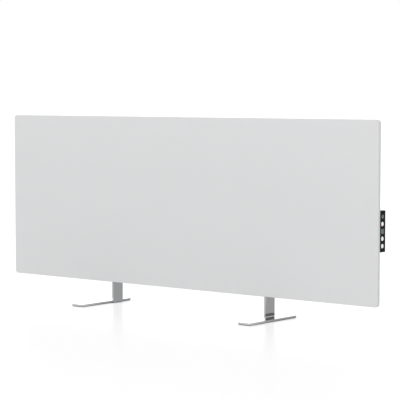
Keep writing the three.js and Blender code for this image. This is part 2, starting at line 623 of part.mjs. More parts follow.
function makeControlHousing() {
  const shellBack = LID_FRONT - GAP;
  const shell = slab('y', housingOutline(HOUSING_RIGHT, 0, HOUSING_CORNER), HOUSING_FRONT, shellBack);
  const hollow = slab('y', housingOutline(HOUSING_RIGHT + 5, CONTROL_WALL, HOUSING_CORNER - CONTROL_WALL),
    HOUSING_FLOOR, shellBack + 5);
  const posts = LID_SCREWS.map(({ x, z }) => rod('y', 2.6, HOUSING_FLOOR - 0.5, shellBack, x, z, 12));
  const pilots = LID_SCREWS.map(({ x, z }) => rod('y', 1.2, HOUSING_FLOOR + 2, shellBack + 5, x, z, 8));
  const rails = [HOUSING_BOTTOM + 1, HOUSING_TOP - 4].flatMap((z) => [
    block(KEY_BOARD_BACK - GAP - 1, KEY_BOARD_BACK - GAP, HOUSING_FLOOR - 0.5, shellBack, z, z + 3),
    block(KEY_BOARD_FRONT + GAP, KEY_BOARD_FRONT + GAP + 1, HOUSING_FLOOR - 0.5, shellBack, z, z + 3),
  ]);
  const standoffs = [[446, 224], [476, 170]].map(([x, z]) => (
    rod('y', 2, HOUSING_FLOOR - 0.5, HOUSING_FLOOR + STANDOFF, x, z, 8)));
  const inlet = rod('z', GLAND.radius + GAP, HOUSING_BOTTOM - 2, HOUSING_BOTTOM + 4, GLAND.x, GLAND.y);
  const leadHole = slab('x', grommetOval(GAP), CONTROL_LEFT - 2, CONTROL_LEFT + 4);
  const open = cut(shell, hollow);
  const fitted = join(open, ...posts, ...rails, ...standoffs);
  piece('control_housing', cut(fitted, ...pilots, inlet, leadHole), finishes.mattBlack);

  const lidScrew = [[0, -11.5], [0.9, -11.5], [0.9, -1.3], [2.2, -0.1], [0, -0.1]];
  const lidOutline = housingOutline(HOUSING_RIGHT, 0, HOUSING_CORNER);
  const lid = slab('y', lidOutline, LID_FRONT, HOUSING_BACK, { bevel: 0.5 });
  const seats = LID_SCREWS.map(({ x, z }) => turned('y',
    [[0, -5], [1.3, -5], [1.3, -1.3], [2.6, 0], [2.6, 1], [0, 1]], [x, HOUSING_BACK, z], 12));
  const slots = [-2, -1, 0, 1, 2].map((i) => slab('y', stadium(
    (CONTROL_LEFT + HOUSING_RIGHT) / 2 - 4, CONTROL_CENTRE + 15 + i * 5, 30, 2,
  ), LID_FRONT - 1, HOUSING_BACK + 1, { curveSegments: COARSE }));
  piece('control_lid', cut(lid, ...seats, ...slots), finishes.mattBlack);
  LID_SCREWS.forEach(({ name, x, z }) => {
    const cross = [block(x - 1.3, x + 1.3, HOUSING_BACK - 0.8, HOUSING_BACK + 1, z - 0.25, z + 0.25),
      block(x - 0.25, x + 0.25, HOUSING_BACK - 0.8, HOUSING_BACK + 1, z - 1.3, z + 1.3)];
    piece(name, cut(turned('y', lidScrew, [x, HOUSING_BACK, z], 12), ...cross), finishes.zincSteel);
  });
}

// ---------------------------------------------------------------- fascia, keys and windows
const KEYS = [
  { name: 'upper', z: CONTROL_CENTRE + KEY_PITCH },
  { name: 'middle', z: CONTROL_CENTRE - KEY_PITCH },
  { name: 'lower', z: CONTROL_CENTRE - 2 * KEY_PITCH },
];
const STATUS_Z = CONTROL_CENTRE + 2 * KEY_PITCH;
const STATUS_RADIUS = 4.2;
const SWITCH_FACE = 489.2;
const PLUNGER_TIP = 490.7;

function windowOutline(inset) {
  const half = WINDOW_SIZE / 2 - inset;
  return rectangle(KEY_Y - half, CONTROL_CENTRE - half, KEY_Y + half, CONTROL_CENTRE + half, 1.2);
}

function makeFascia() {
  const outline = rectangle(HOUSING_FRONT + FASCIA_SETBACK, HOUSING_BOTTOM, HOUSING_BACK, HOUSING_TOP, 1.5);
  const plate = slab('x', outline, FASCIA_BACK, FASCIA_FACE, { bevel: 0.3 });
  const hole = (radius, z, segments) => (
    rod('x', radius + GAP, FASCIA_BACK - 1, FASCIA_FACE + 1, KEY_Y, z, segments));
  const keyHoles = KEYS.map(({ z }) => hole(BUTTON_RADIUS, z, 24));
  const statusHole = hole(STATUS_RADIUS, STATUS_Z, 20);
  const windowHole = slab('x', windowOutline(0), FASCIA_BACK - 1, FASCIA_FACE + 1, { curveSegments: COARSE });
  piece('control_fascia', cut(plate, ...keyHoles, statusHole, windowHole), finishes.glossBlack);
  const pane = slab('x', windowOutline(GAP), FASCIA_BACK, FASCIA_FACE - 0.1, { curveSegments: COARSE });
  piece('display_window', pane, finishes.displayTint);
  piece('status_window', turned('x', [[0, FASCIA_BACK], [STATUS_RADIUS, FASCIA_BACK],
    [STATUS_RADIUS, FASCIA_FACE - 0.3], [STATUS_RADIUS - 0.3, FASCIA_FACE], [0, FASCIA_FACE]],
    [0, KEY_Y, STATUS_Z], 20), finishes.smokeTint);
}

function makeKeys() {
  const collar = FASCIA_BACK - GAP;
  KEYS.forEach(({ name, z }) => {
    const cap = [
      [0, PLUNGER_TIP + GAP], [2, PLUNGER_TIP + GAP], [2, collar - 1], [BUTTON_RADIUS + 0.9, collar - 1],
      [BUTTON_RADIUS + 0.9, collar], [BUTTON_RADIUS, collar], [BUTTON_RADIUS, BUTTON_FACE - 0.5],
      [BUTTON_RADIUS - 0.25, BUTTON_FACE - 0.15], [BUTTON_RADIUS - 0.8, BUTTON_FACE], [3, BUTTON_FACE - 0.15],
      [0, BUTTON_FACE - 0.25],
    ];
    piece(`${name}_button`, turned('x', cap, [0, KEY_Y, z], 20), finishes.whitePlastic);
    const tip = SWITCH_FACE - 1.1;
    piece(`${name}_switch_plunger`, rod('x', 1.6, tip, PLUNGER_TIP, KEY_Y, z, 14), finishes.mattBlack);
    const body = block(KEY_BOARD_FRONT + GAP, SWITCH_FACE, KEY_Y - 3, KEY_Y + 3, z - 3, z + 3);
    const well = rod('x', 1.9, tip - BUTTON_TRAVEL - GAP, SWITCH_FACE + 1, KEY_Y, z, 14);
    piece(`${name}_key_switch`, cut(body, well), finishes.mattBlack);
  });
}

// ---------------------------------------------------------------- electronics in the housing
const POWER_BOARD = { left: 443, right: 479, bottom: 166, top: 230 };
const RELAY = { left: 445, right: 461, bottom: 168, top: 186, height: 9.6 };
const TIP_OVER_SWITCH = { left: 463, right: 475, bottom: 168, top: 182, height: 3, tube: 4 };
const POWER_SUPPLY = { left: 447, right: 473, bottom: 210, top: 228, foot: 2, height: 9, margin: 2 };
const TERMINAL_BLOCK = { length: 16, height: 8.4, halfWidth: 8, clamp: 1.5 };

// A block that stands on a board, drawn from its outline's limits.
function onBoard({ left, right, bottom, top }, seat, height, radius = 0) {
  return block(left, right, seat, seat + height, bottom, top, radius);
}

function makeFasciaElectronics() {
  const boardOutline = rectangle(
    HOUSING_FLOOR + GAP, HOUSING_BOTTOM + CONTROL_WALL + GAP,
    LID_FRONT - GAP, HOUSING_TOP - CONTROL_WALL - GAP,
  );
  piece('key_board', slab('x', boardOutline, KEY_BOARD_BACK, KEY_BOARD_FRONT), finishes.circuitGreen);
  const seat = KEY_BOARD_FRONT + GAP;
  piece('display_module', join(
    block(seat, FASCIA_BACK - GAP - 1, KEY_Y - 6, KEY_Y + 6, CONTROL_CENTRE - 6.2, CONTROL_CENTRE + 6.2),
    block(seat, FASCIA_BACK - GAP, KEY_Y - 5, KEY_Y + 5, CONTROL_CENTRE - 5, CONTROL_CENTRE + 5),
  ), finishes.displayTint);
  const lamp = [
    [0, seat], [1.9, seat], [1.9, seat + 1], [1.5, seat + 1], [1.5, seat + 3.6], [1.06, seat + 4.6],
    [0, seat + 5.1],
  ];
  piece('status_led', turned('x', lamp, [0, KEY_Y, STATUS_Z], 10), finishes.smokeTint);
}

function makePowerElectronics() {
  const underside = HOUSING_FLOOR + STANDOFF + GAP;
  piece('power_board', onBoard(POWER_BOARD, underside, BOARD_THICKNESS, 1), finishes.circuitGreen);
  const seat = underside + BOARD_THICKNESS + GAP;
  piece('relay', onBoard(RELAY, seat, RELAY.height, 0.8), finishes.bluePlastic);
  const { bottom, top, height, tube } = TIP_OVER_SWITCH;
  const tubeX = (TIP_OVER_SWITCH.left + TIP_OVER_SWITCH.right) / 2;
  piece('tip_over_switch', join(
    onBoard(TIP_OVER_SWITCH, seat, height),
    rod('z', tube, bottom, top, tubeX, seat + 4.5, 16),
  ), finishes.mattBlack);
  const { foot, margin } = POWER_SUPPLY;
  const can = {
    left: POWER_SUPPLY.left + margin,
    right: POWER_SUPPLY.right - margin,
    bottom: POWER_SUPPLY.bottom + margin,
    top: POWER_SUPPLY.top - margin,
  };
  piece('power_supply', join(
    onBoard(POWER_SUPPLY, seat, foot),
    block(can.left, can.right, seat + 1.5, seat + POWER_SUPPLY.height, can.bottom, can.top, 1),
  ), finishes.mattBlack);
  const { length, halfWidth, clamp } = TERMINAL_BLOCK;
  const ways = LEAD_OFFSETS.map((offset) => CONTROL_CENTRE + offset);
  const mouths = ways.map((z) => (
    rod('x', LEAD_RADIUS + GAP, TERMINAL.left - 1, TERMINAL.left + 4, TERMINAL.y, z, 10)));
  const clamps = ways.map((z) => rod('y', clamp, seat + 6.5, seat + 12, TERMINAL.left + 7, z, 10));
  const body = block(TERMINAL.left, TERMINAL.left + length, seat, seat + TERMINAL_BLOCK.height,
    CONTROL_CENTRE - halfWidth, CONTROL_CENTRE + halfWidth);
  piece('terminal_block', cut(body, ...mouths, ...clamps), finishes.whitePlastic);
}

// ---------------------------------------------------------------- leads, cut-out, earth and inlet
function makeLeads() {
  const start = TERMINAL.left - GAP;
  const through = (z) => [[start, TERMINAL.y, z], [443.5, TERMINAL.y, z], [439.5, GROMMET_Y, z]];
  const [lower, middle, upper] = LEAD_OFFSETS.map((offset) => CONTROL_CENTRE + offset);
  const barOffset = PANEL_HEIGHT / 2 - PACK.margin + 9;
  const barLevel = BUS_BACK + GAP;
  const column = 407;
  piece('neutral_lead', wire([
    ...through(lower), [column, GROMMET_Y, lower], [column, LEAD_LEVEL, 160],
    [column, LEAD_LEVEL, PANEL_MIDDLE - barOffset], [column, barLevel, PANEL_MIDDLE - barOffset],
  ], 2), finishes.bluePvc);
  piece('live_lead_lower', wire([
    ...through(upper), [CUTOUT.x, GROMMET_Y, upper], [CUTOUT.x, CUTOUT.leadLevel, upper + 22],
    [CUTOUT.x, CUTOUT.leadLevel, CUTOUT.bottom - GAP],
  ], 2), finishes.brownPvc);
  piece('live_lead_upper', wire([
    [CUTOUT.x, CUTOUT.leadLevel, CUTOUT.top + GAP], [CUTOUT.x, CUTOUT.leadLevel, CUTOUT.top + 4],
    [CUTOUT.x, LEAD_LEVEL, CUTOUT.top + 12], [CUTOUT.x, LEAD_LEVEL, PANEL_MIDDLE + barOffset],
    [CUTOUT.x, barLevel, PANEL_MIDDLE + barOffset],
  ], 2), finishes.brownPvc);
  piece('earth_lead', wire([...through(middle), [EARTH_STUD.x + 4.2, GROMMET_Y, middle]], 2),
    finishes.greenPvc);
  const stud = [[0, 7.2], [2, 7.2], [2, 8], [3.8, 8], [3.8, 11.4], [2, 11.4], [2, TRAY_INSIDE - GAP],
    [0, TRAY_INSIDE - GAP]];
  piece('earth_stud', turned('y', stud, [EARTH_STUD.x, 0, EARTH_STUD.z], 12), finishes.brass);
  piece('thermal_cutout', join(
    block(CUTOUT.x - 4, CUTOUT.x + 4, FOIL_FRONT, 9.4, CUTOUT.bottom + 3, CUTOUT.top - 3, 0.8),
    block(CUTOUT.x - 1.5, CUTOUT.x + 1.5, 6.9, 7.9, CUTOUT.bottom, CUTOUT.top),
  ), finishes.zincSteel);

  const oval = grommetOval(0);
  const bore = (z) => rod('x', LEAD_RADIUS + GAP, 418, 437, GROMMET_Y, z, 10);
  const lip = grommetOval(1);
  const bush = join(
    slab('x', oval, 421, CONTROL_LEFT + CONTROL_WALL + 2),
    slab('x', lip, CONTROL_LEFT + CONTROL_WALL + GAP, CONTROL_LEFT + CONTROL_WALL + 2),
  );
  piece('lead_grommet', cut(bush, ...[lower, middle, upper].map(bore)), finishes.blackRubber);
}

function makeGland() {
  const { x, y, radius, bore } = GLAND;
  const below = HOUSING_BOTTOM - GAP;
  const above = HOUSING_BOTTOM + CONTROL_WALL + GAP;
  const profile = [
    [bore, below - 9], [5.2, below - 9], [6, below - 8], [6, below - 3.4], [6.4, below - 3.2], [6.4, below],
    [radius, below], [radius, above], [6, above], [6, above + 2.6], [bore, above + 2.6], [bore, below - 9],
  ];
  const grips = Array.from({ length: 8 }, (_, i) => {
    const angle = (i * Math.PI) / 4;
    return rod('z', 0.6, below - 10, below - 3.6, x + 6.2 * Math.cos(angle), y + 6.2 * Math.sin(angle), 6);
  });
  piece('cord_gland', cut(turned('z', profile, [x, y, 0], 20), ...grips), finishes.mattBlack);
}

makeFrontPanel();
makeHeatingPack();
makeRearFrame();
makeRearCover();
makeHangerBrackets();
makeFeet();
makeControlHousing();
makeFascia();
makeKeys();
makeFasciaElectronics();
makePowerElectronics();
makeLeads();
makeGland();

export default heater;
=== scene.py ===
"""Looks for a free-standing infrared panel heater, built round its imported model.

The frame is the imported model's: metres, +Z up, the glass facing -Y. Shapes are drawn in
millimetres, in that frame, and scaled when they become pieces.
"""

import logging
import math
from collections.abc import Callable, Iterable, Sequence
from dataclasses import dataclass, field
from enum import Enum

import bmesh
import bpy
from mathutils import Matrix, Vector


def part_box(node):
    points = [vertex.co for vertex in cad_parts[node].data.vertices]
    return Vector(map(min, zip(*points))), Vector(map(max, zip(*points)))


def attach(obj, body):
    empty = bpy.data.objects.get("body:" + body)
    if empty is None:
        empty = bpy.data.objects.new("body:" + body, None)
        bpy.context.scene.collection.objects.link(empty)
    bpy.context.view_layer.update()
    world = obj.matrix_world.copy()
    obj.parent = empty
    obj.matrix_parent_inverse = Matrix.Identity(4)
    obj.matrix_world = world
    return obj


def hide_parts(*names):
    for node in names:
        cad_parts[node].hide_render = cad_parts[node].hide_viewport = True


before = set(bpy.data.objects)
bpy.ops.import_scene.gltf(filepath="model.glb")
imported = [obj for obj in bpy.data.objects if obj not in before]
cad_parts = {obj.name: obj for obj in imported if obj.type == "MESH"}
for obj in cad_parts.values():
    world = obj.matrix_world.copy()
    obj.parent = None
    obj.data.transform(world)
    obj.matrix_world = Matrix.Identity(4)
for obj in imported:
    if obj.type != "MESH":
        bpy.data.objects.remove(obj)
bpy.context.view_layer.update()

log = logging.getLogger("heater")

MM = 0.001
HEATER = "heater"
SIDES = (("left", -1), ("right", 1))

Point = tuple[float, float]
Outline = list[Point]
Colour = tuple[float, float, float]
Socket = bpy.types.NodeSocket


def span(node: str) -> tuple[Vector, Vector]:
    """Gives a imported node's lowest and highest corners in millimetres."""
    low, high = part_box(node)
    return low / MM, high / MM


def middle_of(node: str, axes: str = "xz") -> Point:
    """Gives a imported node's middle along two axes, in millimetres."""
    low, high = span(node)
    return tuple((getattr(low, axis) + getattr(high, axis)) / 2 for axis in axes)


# ---------------------------------------------------------------- outlines
def arc(before: Vector, corner: Vector, after: Vector, radius: float, steps: int) -> list[Vector]:
    """Gives the arc that rounds one corner of a line.

    Args:
        before: The point before the corner.
        corner: The corner.
        after: The point after it.
        radius: The arc's radius.
        steps: Steps in the arc.

    Returns:
        The arc's points, in the line's order.
    """
    back = (before - corner).normalized()
    ahead = (after - corner).normalized()
    half = back.angle(ahead) / 2
    centre = corner + (back + ahead).normalized() * (radius / math.sin(half))
    start = corner + back * (radius / math.tan(half)) - centre
    turn = -1 if back.x * ahead.y - back.y * ahead.x > 0 else 1
    points = []
    for k in range(steps + 1):
        arm = start.copy()
        arm.rotate(Matrix.Rotation(turn * (math.pi - 2 * half) * k / steps, 2))
        points.append(centre + arm)
    return points


def rounded(corners: Sequence[Point], radii: float | Sequence[float], steps: int = 8) -> Outline:
    """Rounds the corners of a closed polygon.

    Args:
        corners: The polygon's corners in order.
        radii: One radius, or one for each corner; 0 keeps a corner sharp.
        steps: Steps in each arc.

    Returns:
        The rounded outline.
    """
    points = [Vector(corner) for corner in corners]
    outline: Outline = []
    for i, corner in enumerate(points):
        radius = radii if isinstance(radii, (int, float)) else radii[i]
        if radius <= 0:
            outline.append(tuple(corner))
            continue
        after = points[(i + 1) % len(points)]
        outline += [tuple(point) for point in arc(points[i - 1], corner, after, radius, steps)]
    return outline


def rectangle(low: Point, high: Point, radius: float = 0.0, steps: int = 8) -> Outline:
    """Draws a rectangle between two corners, with rounded corners if a radius is given."""
    return rounded([low, (high[0], low[1]), high, (low[0], high[1])], radius, steps)


def circle(centre: Point, radius: float, steps: int = 40) -> Outline:
    """Draws a circle."""
    turn = 2 * math.pi / steps
    return [
        (centre[0] + radius * math.cos(k * turn), centre[1] + radius * math.sin(k * turn))
        for k in range(steps)
    ]


def slot(centre: Point, length: float, width: float, steps: int = 8) -> Outline:
    """Draws a slot with round ends, its length along the first axis."""
    reach = (length / 2, width / 2)
    low = (centre[0] - reach[0], centre[1] - reach[1])
    high = (centre[0] + reach[0], centre[1] + reach[1])
    return rectangle(low, high, width / 2 - 0.005, steps)


def upright(centre: Point, length: float, width: float, steps: int = 3) -> Outline:
    """Draws a slot with round ends, its length along the second axis."""
    low = (centre[0] - width / 2, centre[1] - length / 2)
    high = (centre[0] + width / 2, centre[1] + length / 2)
    return rectangle(low, high, width / 2 - 0.005, steps)


def dome(centre: Point, width: float, height: float, angles: Iterable[int]) -> Outline:
    """Draws part of an ellipse about a centre, at angles in degrees."""
    turns = [math.radians(angle) for angle in angles]
    return [(centre[0] + width * math.cos(a), centre[1] + height * math.sin(a)) for a in turns]


def folded_strip(
    corners: Sequence[Point], thickness: float, inside: float, steps: int = 8
) -> Outline:
    """Draws the section of a folded sheet.

    Args:
        corners: The corners of the sheet's middle line.
        thickness: The sheet's thickness.
        inside: The inside radius of each bend.
        steps: Steps in each bend.

    Returns:
        The section's outline.
    """
    points = [Vector(corner) for corner in corners]
    line = [points[0]]
    for before, corner, after in zip(points, points[1:], points[2:], strict=False):
        line += arc(before, corner, after, inside + thickness / 2, steps)
    line.append(points[-1])
    sides: list[Outline] = [[], []]
    for i, point in enumerate(line):
        along = (line[min(i + 1, len(line) - 1)] - line[max(i - 1, 0)]).normalized()
        normal = Vector((-along.y, along.x)) * (thickness / 2)
        sides[0].append(tuple(point + normal))
        sides[1].append(tuple(point - normal))
    return sides[0] + sides[1][::-1]


# ---------------------------------------------------------------- solids
class Axis(Enum):
    """The axis that an outline is extruded or turned along.

    The value takes the outline's axes to the frame's.
    """

    X = ((0, 0, 1), (1, 0, 0), (0, 1, 0))
    Y = ((1, 0, 0), (0, 0, 1), (0, 1, 0))
    Z = ((1, 0, 0), (0, 1, 0), (0, 0, 1))

    def matrix(self) -> Matrix:
        """Gives the value as a 4x4 matrix."""
        return Matrix(self.value).to_4x4()


class Cut(Enum):
    """What a boolean step does with the second solid."""

    ADD = "UNION"
    TAKE = "DIFFERENCE"


@dataclass
class Solid:
    """A closed mesh in millimetres, on its way to becoming a piece.

    Attributes:
        mesh: The Blender mesh.
    """

    mesh: bpy.types.Mesh

    @classmethod
    def from_bmesh(cls, work: bmesh.types.BMesh) -> "Solid":
        """Closes a bmesh into a solid: welds it and turns its faces outwards."""
        bmesh.ops.remove_doubles(work, verts=work.verts, dist=1e-4)
        bmesh.ops.recalc_face_normals(work, faces=work.faces)
        mesh = bpy.data.meshes.new("solid")
        work.to_mesh(mesh)
        work.free()
        return cls(mesh)

    @classmethod
    def extruded(
        cls,
        outlines: Sequence[Outline],
        axis: Axis,
        start: float,
        end: float,
        edge: float = 0.0,
        edge_steps: int = 3,
    ) -> "Solid":
        """Extrudes an outline, with any holes, and rounds its edges.

        Args:
            outlines: The outer outline, then its holes.
            axis: The axis to extrude along.
            start: The level where it starts.
            end: The level where it ends.
            edge: The radius of the rounded edges.
            edge_steps: Steps in each rounded edge.

        Returns:
            The solid.
        """
        curve = bpy.data.curves.new("outline", "CURVE")
        curve.dimensions = "2D"
        curve.fill_mode = "BOTH"
        curve.extrude = (end - start) / 2 - edge
        curve.bevel_depth = edge
        curve.bevel_resolution = edge_steps - 1
        curve.offset = -edge
        for outline in outlines:
            spline = curve.splines.new("POLY")
            spline.points.add(len(outline) - 1)
            for point, (u, v) in zip(spline.points, outline, strict=True):
                point.co = (u, v, 0, 1)
            spline.use_cyclic_u = True
        holder = bpy.data.objects.new("outline", curve)
        bpy.context.scene.collection.objects.link(holder)
        mesh = evaluated_mesh(holder)
        work = bmesh.new()
        work.from_mesh(mesh)
        bpy.data.meshes.remove(mesh)
        bpy.data.objects.remove(holder)
        bpy.data.curves.remove(curve)
        bmesh.ops.translate(work, verts=work.verts, vec=(0, 0, (start + end) / 2))
        work.transform(axis.matrix())
        return cls.from_bmesh(work)

    @classmethod
    def lofted(cls, rings: Sequence[tuple[float, Outline]]) -> "Solid":
        """Joins outlines of one point count, drawn in XZ, at successive levels along Y."""
        work = bmesh.new()
        loops = [[work.verts.new((u, level, v)) for u, v in outline] for level, outline in rings]
        for lower, upper in zip(loops, loops[1:], strict=False):
            for i in range(len(lower)):
                j = (i + 1) % len(lower)
                work.faces.new((lower[i], lower[j], upper[j], upper[i]))
        work.faces.new(loops[0][::-1])
        work.faces.new(loops[-1])
        return cls.from_bmesh(work)

    @classmethod
    def turned(cls, profile: Sequence[Point], axis: Axis, centre: Point, steps: int = 48) -> "Solid":
        """Turns a profile of (radius, level) points about an axis.

        Args:
            profile: The points, from the axis and back to it, or closing on themselves.
            axis: The axis of turning.
            centre: Where the axis is, in the two other directions.
            steps: Steps round the turn.

        Returns:
            The solid.
        """
        work = bmesh.new()
        rings: list[list[bmesh.types.BMVert]] = []
        for radius, level in profile:
            count = steps if radius > 1e-6 else 1
            turn = 2 * math.pi / steps
            rings.append([
                work.verts.new((
                    centre[0] + radius * math.cos(k * turn),
                    centre[1] + radius * math.sin(k * turn),
                    level,
                ))
                for k in range(count)
            ])
        for lower, upper in zip(rings, rings[1:], strict=False):
            for k in range(steps):
                corners = [lower[k % len(lower)], lower[(k + 1) % len(lower)]]
                corners += [upper[(k + 1) % len(upper)], upper[k % len(upper)]]
                unique = list(dict.fromkeys(corners))
                if len(unique) > 2:
                    work.faces.new(unique)
        work.transform(axis.matrix())
        return cls.from_bmesh(work)

    @classmethod
    def group(cls, solids: Iterable["Solid"]) -> "Solid":
        """Puts solids that don't touch into one mesh."""
        work = bmesh.new()
        for part in solids:
            work.from_mesh(part.mesh)
        return cls.from_bmesh(work)

    def combined(self, how: Cut, *others: "Solid") -> "Solid":
        """Adds other solids to this one, or takes them away from it.

        Args:
            how: Whether to add or take.
            *others: The other solids.

        Returns:
            The solid that results.
        """
        host = bpy.data.objects.new("host", self.mesh)
        bpy.context.scene.collection.objects.link(host)
        tools = []
        for other in others:
            tool = bpy.data.objects.new("tool", other.mesh)
            bpy.context.scene.collection.objects.link(tool)
            step = host.modifiers.new("step", "BOOLEAN")
            step.operation = how.value
            step.solver = "EXACT"
            step.object = tool
            tools.append(tool)
        mesh = evaluated_mesh(host)
        for spent in (host, *tools):
            bpy.data.objects.remove(spent)
        return Solid(mesh)

    def bent(self, cuts: Iterable[tuple[Vector, Vector]], fold: Callable[[Vector], Vector]) -> "Solid":
        """Slices the mesh along planes and then moves every point.

        Args:
            cuts: A point and a normal for each plane.
            fold: Takes a point of the flat sheet to its place on the folded one.

        Returns:
            The folded solid.
        """
        work = bmesh.new()
        work.from_mesh(self.mesh)
        for point, normal in cuts:
            everything = [*work.verts, *work.edges, *work.faces]
            bmesh.ops.bisect_plane(work, geom=everything, dist=1e-4, plane_co=point, plane_no=normal)
        for vertex in work.verts:
            vertex.co = fold(vertex.co)
        return Solid.from_bmesh(work)

    def mirrored(self) -> "Solid":
        """Gives the mirror image across the panel's middle."""
        work = bmesh.new()
        work.from_mesh(self.mesh)
        work.transform(Matrix.Diagonal((-1, 1, 1, 1)))
        return Solid.from_bmesh(work)

    def place(
        self,
        name: str,
        finish: "Finish",
        body: str = HEATER,
        replaces: Sequence[str] = (),
        sharp: float = 32.0,
    ) -> bpy.types.Object:
        """Makes the solid a piece of the heater.

        Args:
            name: The piece's name.
            finish: What it is finished in.
            body: The body that it rides on.
            replaces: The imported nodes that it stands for.
            sharp: The angle in degrees above which an edge stays crisp.

        Returns:
            The piece.
        """
        self.mesh.transform(Matrix.Scale(MM, 4))
        self.mesh.shade_smooth()
        self.mesh.set_sharp_from_angle(angle=math.radians(sharp))
        draft = bpy.data.objects.new(name, self.mesh)
        bpy.context.scene.collection.objects.link(draft)
        weights = draft.modifiers.new("flat faces stay flat", "WEIGHTED_NORMAL")
        weights.keep_sharp = True
        mesh = evaluated_mesh(draft)
        bpy.data.objects.remove(draft)
        mesh.name = name
        mesh.materials.clear()
        mesh.materials.append(finish.material())
        piece = bpy.data.objects.new(name, mesh)
        bpy.context.scene.collection.objects.link(piece)
        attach(piece, body)
        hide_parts(*replaces)
        log.info("piece %s on %s, %d faces", name, body, len(mesh.polygons))
        return piece


def evaluated_mesh(holder: bpy.types.Object) -> bpy.types.Mesh:
    """Gives an object's mesh with its modifiers applied."""
    graph = bpy.context.evaluated_depsgraph_get()
    graph.update()
    return bpy.data.meshes.new_from_object(holder.evaluated_get(graph), depsgraph=graph)


# ---------------------------------------------------------------- finishes
class Wires:
    """A node tree, with helpers that add nodes to it and link them."""

    def __init__(self, tree: bpy.types.NodeTree) -> None:
        """Takes the tree to work on."""
        self.tree = tree

    def add(self, kind: str, **inputs: object) -> bpy.types.Node:
        """Adds a node.

        Args:
            kind: The node's type.
            **inputs: Input values or sockets by name, with _ for a space.

        Returns:
            The node.
        """
        node = self.tree.nodes.new(kind)
        for name, value in inputs.items():
            self.feed(node.inputs[name.replace("_", " ")], value)
        return node

    def feed(self, socket: Socket, value: object) -> None:
        """Links a socket to an input, or sets the input's value."""
        if isinstance(value, bpy.types.NodeSocket):
            self.tree.links.new(value, socket)
        else:
            socket.default_value = value

    def ranged(self, value: Socket, low: float, high: float, first: float, last: float) -> Socket:
        """Takes the range low..high to first..last, clamped."""
        node = self.tree.nodes.new("ShaderNodeMapRange")
        for i, part in enumerate((value, low, high, first, last)):
            self.feed(node.inputs[i], part)
        return node.outputs[0]

    def sum(self, *values: Socket | float, operation: str = "ADD") -> Socket:
        """Adds values up, or joins them by another operation of the Math node."""
        total = values[0]
        for value in values[1:]:
            node = self.tree.nodes.new("ShaderNodeMath")
            node.operation = operation
            self.feed(node.inputs[0], total)
            self.feed(node.inputs[1], value)
            total = node.outputs[0]
        return total


class Graph(Wires):
    """The node graph of one material, round its main shader."""

    def __init__(self, name: str) -> None:
        """Starts a material.

        Args:
            name: The material's name.
        """
        self.material = bpy.data.materials.new(name)
        self.material.use_nodes = True
        super().__init__(self.material.node_tree)
        self.shader = self.tree.nodes["Principled BSDF"]
        self.where = self.add("ShaderNodeTexCoord").outputs["Object"]

    def set(self, name: str, value: object) -> None:
        """Feeds one of the main shader's inputs."""
        self.feed(self.shader.inputs[name], value)

    def noise(self, size: float, detail: float = 3.0, stretch: Colour = (1, 1, 1)) -> Socket:
        """Adds a noise texture.

        Args:
            size: The size of its features in metres.
            detail: How many finer layers it has.
            stretch: How much longer the features are along each axis.

        Returns:
            The noise, from 0 to 1.
        """
        scale = tuple(1 / (size * part) for part in stretch)
        spot = self.add("ShaderNodeMapping", Vector=self.where, Scale=scale).outputs["Vector"]
        return self.add("ShaderNodeTexNoise", Vector=spot, Scale=1.0, Detail=detail).outputs["Fac"]

    def mix(self, factor: Socket | float, first: Colour | Socket, second: Colour | Socket) -> Socket:
        """Mixes two colours."""
        node = self.tree.nodes.new("ShaderNodeMix")
        node.data_type = "RGBA"
        self.feed(node.inputs["Factor"], factor)
        for name, colour in (("A", first), ("B", second)):
            value = colour if isinstance(colour, bpy.types.NodeSocket) else (*colour, 1.0)
            self.feed(next(s for s in node.inputs if s.name == name and s.type == "RGBA"), value)
        return next(s for s in node.outputs if s.type == "RGBA")

    def bump(self, height: Socket, depth: float) -> None:
        """Adds relief of a real depth, in metres, to the main shader."""
        node = self.add("ShaderNodeBump", Height=height, Distance=depth, Strength=1.0)
        self.set("Normal", node.outputs["Normal"])


def shaded(colour: Colour, share: float) -> Colour:
    """Lightens or darkens a colour by a share."""
    return tuple(min(part * share, 1.0) for part in colour)


@dataclass(frozen=True)
class Finish:
    """A surface finish with slight cloudiness and a fine grain.

    Attributes:
        name: The material's name.
        slot: The name of the slot that it belongs to; not used.
        colour: The colour that it is meant to show.
        roughness: How matt it is, in the middle of its spread.
        spread: How much the roughness varies.
        metallic: 1 for bare metal.
        specular: The strength of its surface reflection.
        cloud: The share by which its tone varies.
        cloud_size: The size of those clouds in metres.
        grain: The depth of its grain in metres.
        grain_size: The width of its grain in metres.
        coat: The strength of a clear coat.
    """

    name: str
    slot: str
    colour: Colour
    roughness: float
    spread: float = 0.05
    metallic: float = 0.0
    specular: float = 0.5
    cloud: float = 0.02
    cloud_size: float = 0.03
    grain: float = 0.0
    grain_size: float = 0.0006
    coat: float = 0.0

    def material(self) -> bpy.types.Material:
        """Gives the material, and makes it the first time."""
        made = bpy.data.materials.get(self.name)
        if made is None:
            graph = Graph(self.name)
            self.dress(graph)
            made = graph.material
        return made

    def dress(self, graph: Graph) -> None:
        """Wires the finish into a graph."""
        graph.set("Metallic", self.metallic)
        graph.set("Specular IOR Level", self.specular)
        graph.set("Coat Weight", self.coat)
        graph.set("Base Color", self.tone(graph))
        low, high = self.roughness - self.spread, self.roughness + self.spread
        graph.set("Roughness", graph.ranged(graph.noise(self.grain_size * 6), 0.3, 0.7, low, high))
        if self.grain:
            graph.bump(graph.noise(self.grain_size, 2.0), self.grain)

    def tone(self, graph: Graph) -> Socket:
        """Gives the colour with its clouds."""
        clouds = graph.ranged(graph.noise(self.cloud_size), 0.3, 0.7, 0.0, 1.0)
        dark, light = shaded(self.colour, 1 - self.cloud), shaded(self.colour, 1 + self.cloud)
        return graph.mix(clouds, dark, light)


